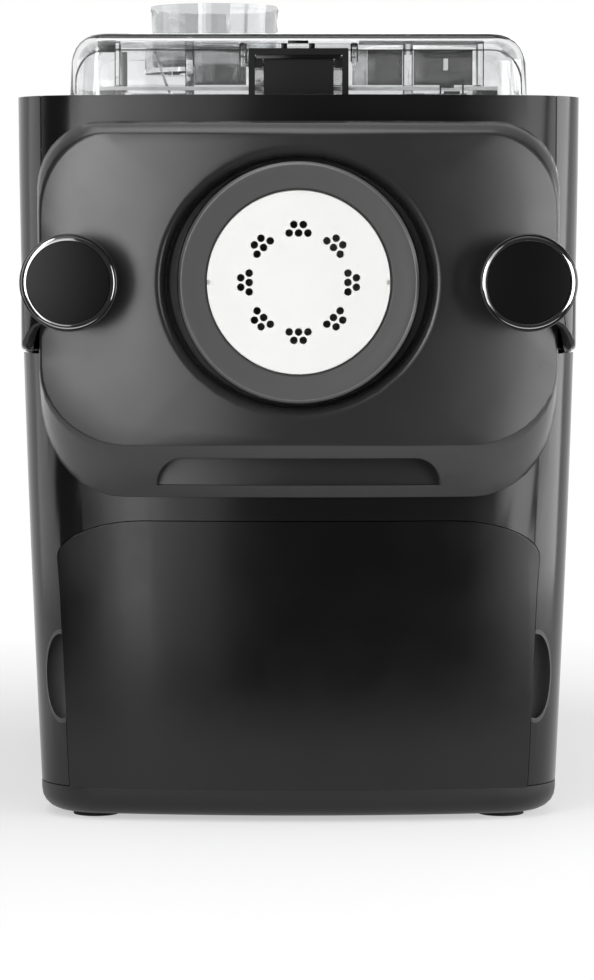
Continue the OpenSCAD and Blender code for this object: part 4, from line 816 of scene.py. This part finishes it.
def display_digits(shown="03:00"):
    """Seven-segment digits that lie under the window's surface."""
    low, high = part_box("display_lens")
    middle = Vector(((low.x + high.x) / 2, (low.y + high.y) / 2, high.z)) / MM
    body, slot = BODY_OF["display_lens"], SLOT_OF["display_lens"]
    across = flat_bar("segment_across", middle, (4.0, 0.9), GLOW, body, slot)
    upright = flat_bar("segment_upright", middle, (0.9, 3.9), GLOW, body, slot)
    dot = flat_bar("segment_dot", middle, (1.1, 1.1), GLOW, body, slot)
    right, high_up = DIGIT_HALF_W, DIGIT_HALF_H
    places = {"a": (across, 0, high_up), "g": (across, 0, 0), "d": (across, 0, -high_up),
              "b": (upright, right, high_up / 2), "c": (upright, right, -high_up / 2),
              "e": (upright, -right, -high_up / 2), "f": (upright, -right, high_up / 2),
              "upper dot": (dot, 0, DOT_UP), "lower dot": (dot, 0, -DOT_UP)}
    for number, sign in enumerate(shown):
        x = (number - 2) * DIGIT_PITCH
        marks = [places[key] for key in SEGMENTS[sign]]
        for count, (bar, aside, ahead) in enumerate(marks):
            twin(bar, f"display_{number}_{count}", (x + aside, ahead, 0))
    for bar in (across, upright, dot):
        bpy.data.objects.remove(bar)


power_mark()
start_mark()
level_marks()
display_digits()


# ---- Studio: levels, where a strength of 1 is white, and the floor's sizes in metres ----
ROOM_FRONT = 0.06
CEILING = 0.7
FILL = 0.16
FLOOR_SIZE = 30.0
FLOOR_FRONT = 0.50
FLOOR_GLOW = 0.5


def soft_world():
    """White behind the machine, a dim room in front of it, and an even fill for matt surfaces."""
    studio = Finish("studio", world=True)
    bpy.context.scene.world = studio.owner
    path = studio.node("ShaderNodeLightPath").socket.node
    seen = Value(studio, path.outputs["Is Camera Ray"]) + Value(studio, path.outputs["Is Transmission Ray"])
    seen = seen.smaller(1.0)
    mirrored = Value(studio, path.outputs["Is Glossy Ray"])
    _, depth, height = studio.axes()
    behind = studio.ramp(depth * 0.5 + 0.5, (0.45, 0.0), (0.62, 1.0))
    ceiling = studio.ramp(height, (0.5, 0.0), (0.8, CEILING))
    room = (ROOM_FRONT + behind * (1 - ROOM_FRONT)).larger(ceiling)
    level = seen + (1 - seen) * (mirrored * room + (1 - mirrored) * FILL)
    background = studio.node("ShaderNodeBackground", None, (1, 1, 1, 1), level)
    studio.node("ShaderNodeOutputWorld", None, background)


def floor():
    """A pale floor that stays white to the eye and keeps the machine's shadow."""
    bpy.ops.mesh.primitive_plane_add(size=FLOOR_SIZE, location=(0, 0, 0))
    plane = bpy.context.object
    plane.name = "floor"
    edit(plane, lambda: bpy.ops.transform.translate(value=(0, FLOOR_SIZE / 2 - FLOOR_FRONT, 0)))
    finish = Finish("floor")
    path = finish.node("ShaderNodeLightPath").socket.node
    rays = [Value(finish, path.outputs[f"Is {kind} Ray"]) for kind in ("Camera", "Glossy", "Transmission")]
    seen = (rays[0] + rays[1] + rays[2]).smaller(1.0)
    x, y, _ = finish.axes()
    far = finish.ramp((x * x + y * y) ** 0.5, (0.24, 0.0), (0.6, 1.0))
    near_tone = finish.mix(grey(1 - FLOOR_GLOW), grey(0), far)
    diffuse = finish.node("ShaderNodeBsdfDiffuse", None, finish.mix(grey(0.72), near_tone, seen))
    glow = finish.node("ShaderNodeEmission", None, (1, 1, 1, 1), seen * (FLOOR_GLOW + (1 - FLOOR_GLOW) * far))
    both = finish.node("ShaderNodeAddShader", None, diffuse, glow)
    finish.node("ShaderNodeOutputMaterial", None, both)
    paint(plane, finish.owner)


def lamp(name, place, size, radiance, aim=(0, -0.1, 0.18)):
    """A soft box that faces the machine."""
    light = bpy.data.lights.new(name, "AREA")
    light.shape = "RECTANGLE"
    light.size, light.size_y = size
    light.energy = radiance * math.pi * size[0] * size[1]
    box = bpy.data.objects.new(name, light)
    bpy.context.scene.collection.objects.link(box)
    box.location = place
    box.rotation_euler = (Vector(aim) - Vector(place)).to_track_quat("-Z", "Y").to_euler()
    box.visible_camera = False
    return box


soft_world()
floor()
lamp("strip_left", (-0.275, -0.78, 0.21), (0.08, 0.44), 3.4, (-0.07, -0.16, 0.21))
lamp("strip_left_soft", (-0.18, -0.80, 0.21), (0.11, 0.44), 1.0, (-0.04, -0.16, 0.21))
lamp("strip_left_high", (-0.37, -0.76, 0.44), (0.11, 0.62), 7.5, (-0.08, -0.17, 0.26))
lamp("soft_left_high", (-0.20, -0.81, 0.36), (0.20, 0.46), 1.2, (-0.04, -0.17, 0.26))
lamp("side_box_left", (-0.90, -0.10, 0.24), (0.62, 0.48), 1.2, (-0.11, -0.13, 0.24))
lamp("strip_right", (0.561, -0.707, 0.22), (0.43, 0.44), 4.8, (0.10, -0.16, 0.22))
lamp("side_box_right", (0.86, -0.16, 0.24), (0.70, 0.48), 4.2, (0.11, -0.13, 0.24))
lamp("top_box", (-0.2, -0.5, 1.6), (1.3, 1.0), 2.2)
lamp("back_box", (0.3, 1.2, 0.75), (0.9, 0.7), 2.4).visible_transmission = False

# ---- Camera: its place in metres, its tilt up from straight down, and its lens ----
CAMERA_PLACE = (0, -1.658, 0.2435)
CAMERA_TILT = 86.16
CAMERA_SHIFT = -0.0016
PICTURE_H = 980
FOCAL_PX = 3541
camera_data = bpy.data.cameras.new("camera")
camera_data.sensor_fit = "AUTO"
camera_data.sensor_width = 36
camera_data.lens = camera_data.sensor_width * FOCAL_PX / PICTURE_H
camera_data.shift_x = CAMERA_SHIFT
camera = bpy.data.objects.new("camera", camera_data)
bpy.context.scene.collection.objects.link(camera)
camera.location = CAMERA_PLACE
camera.rotation_euler = (math.radians(CAMERA_TILT), 0, 0)
bpy.context.scene.camera = camera
bpy.context.scene.view_settings.view_transform = "Standard"
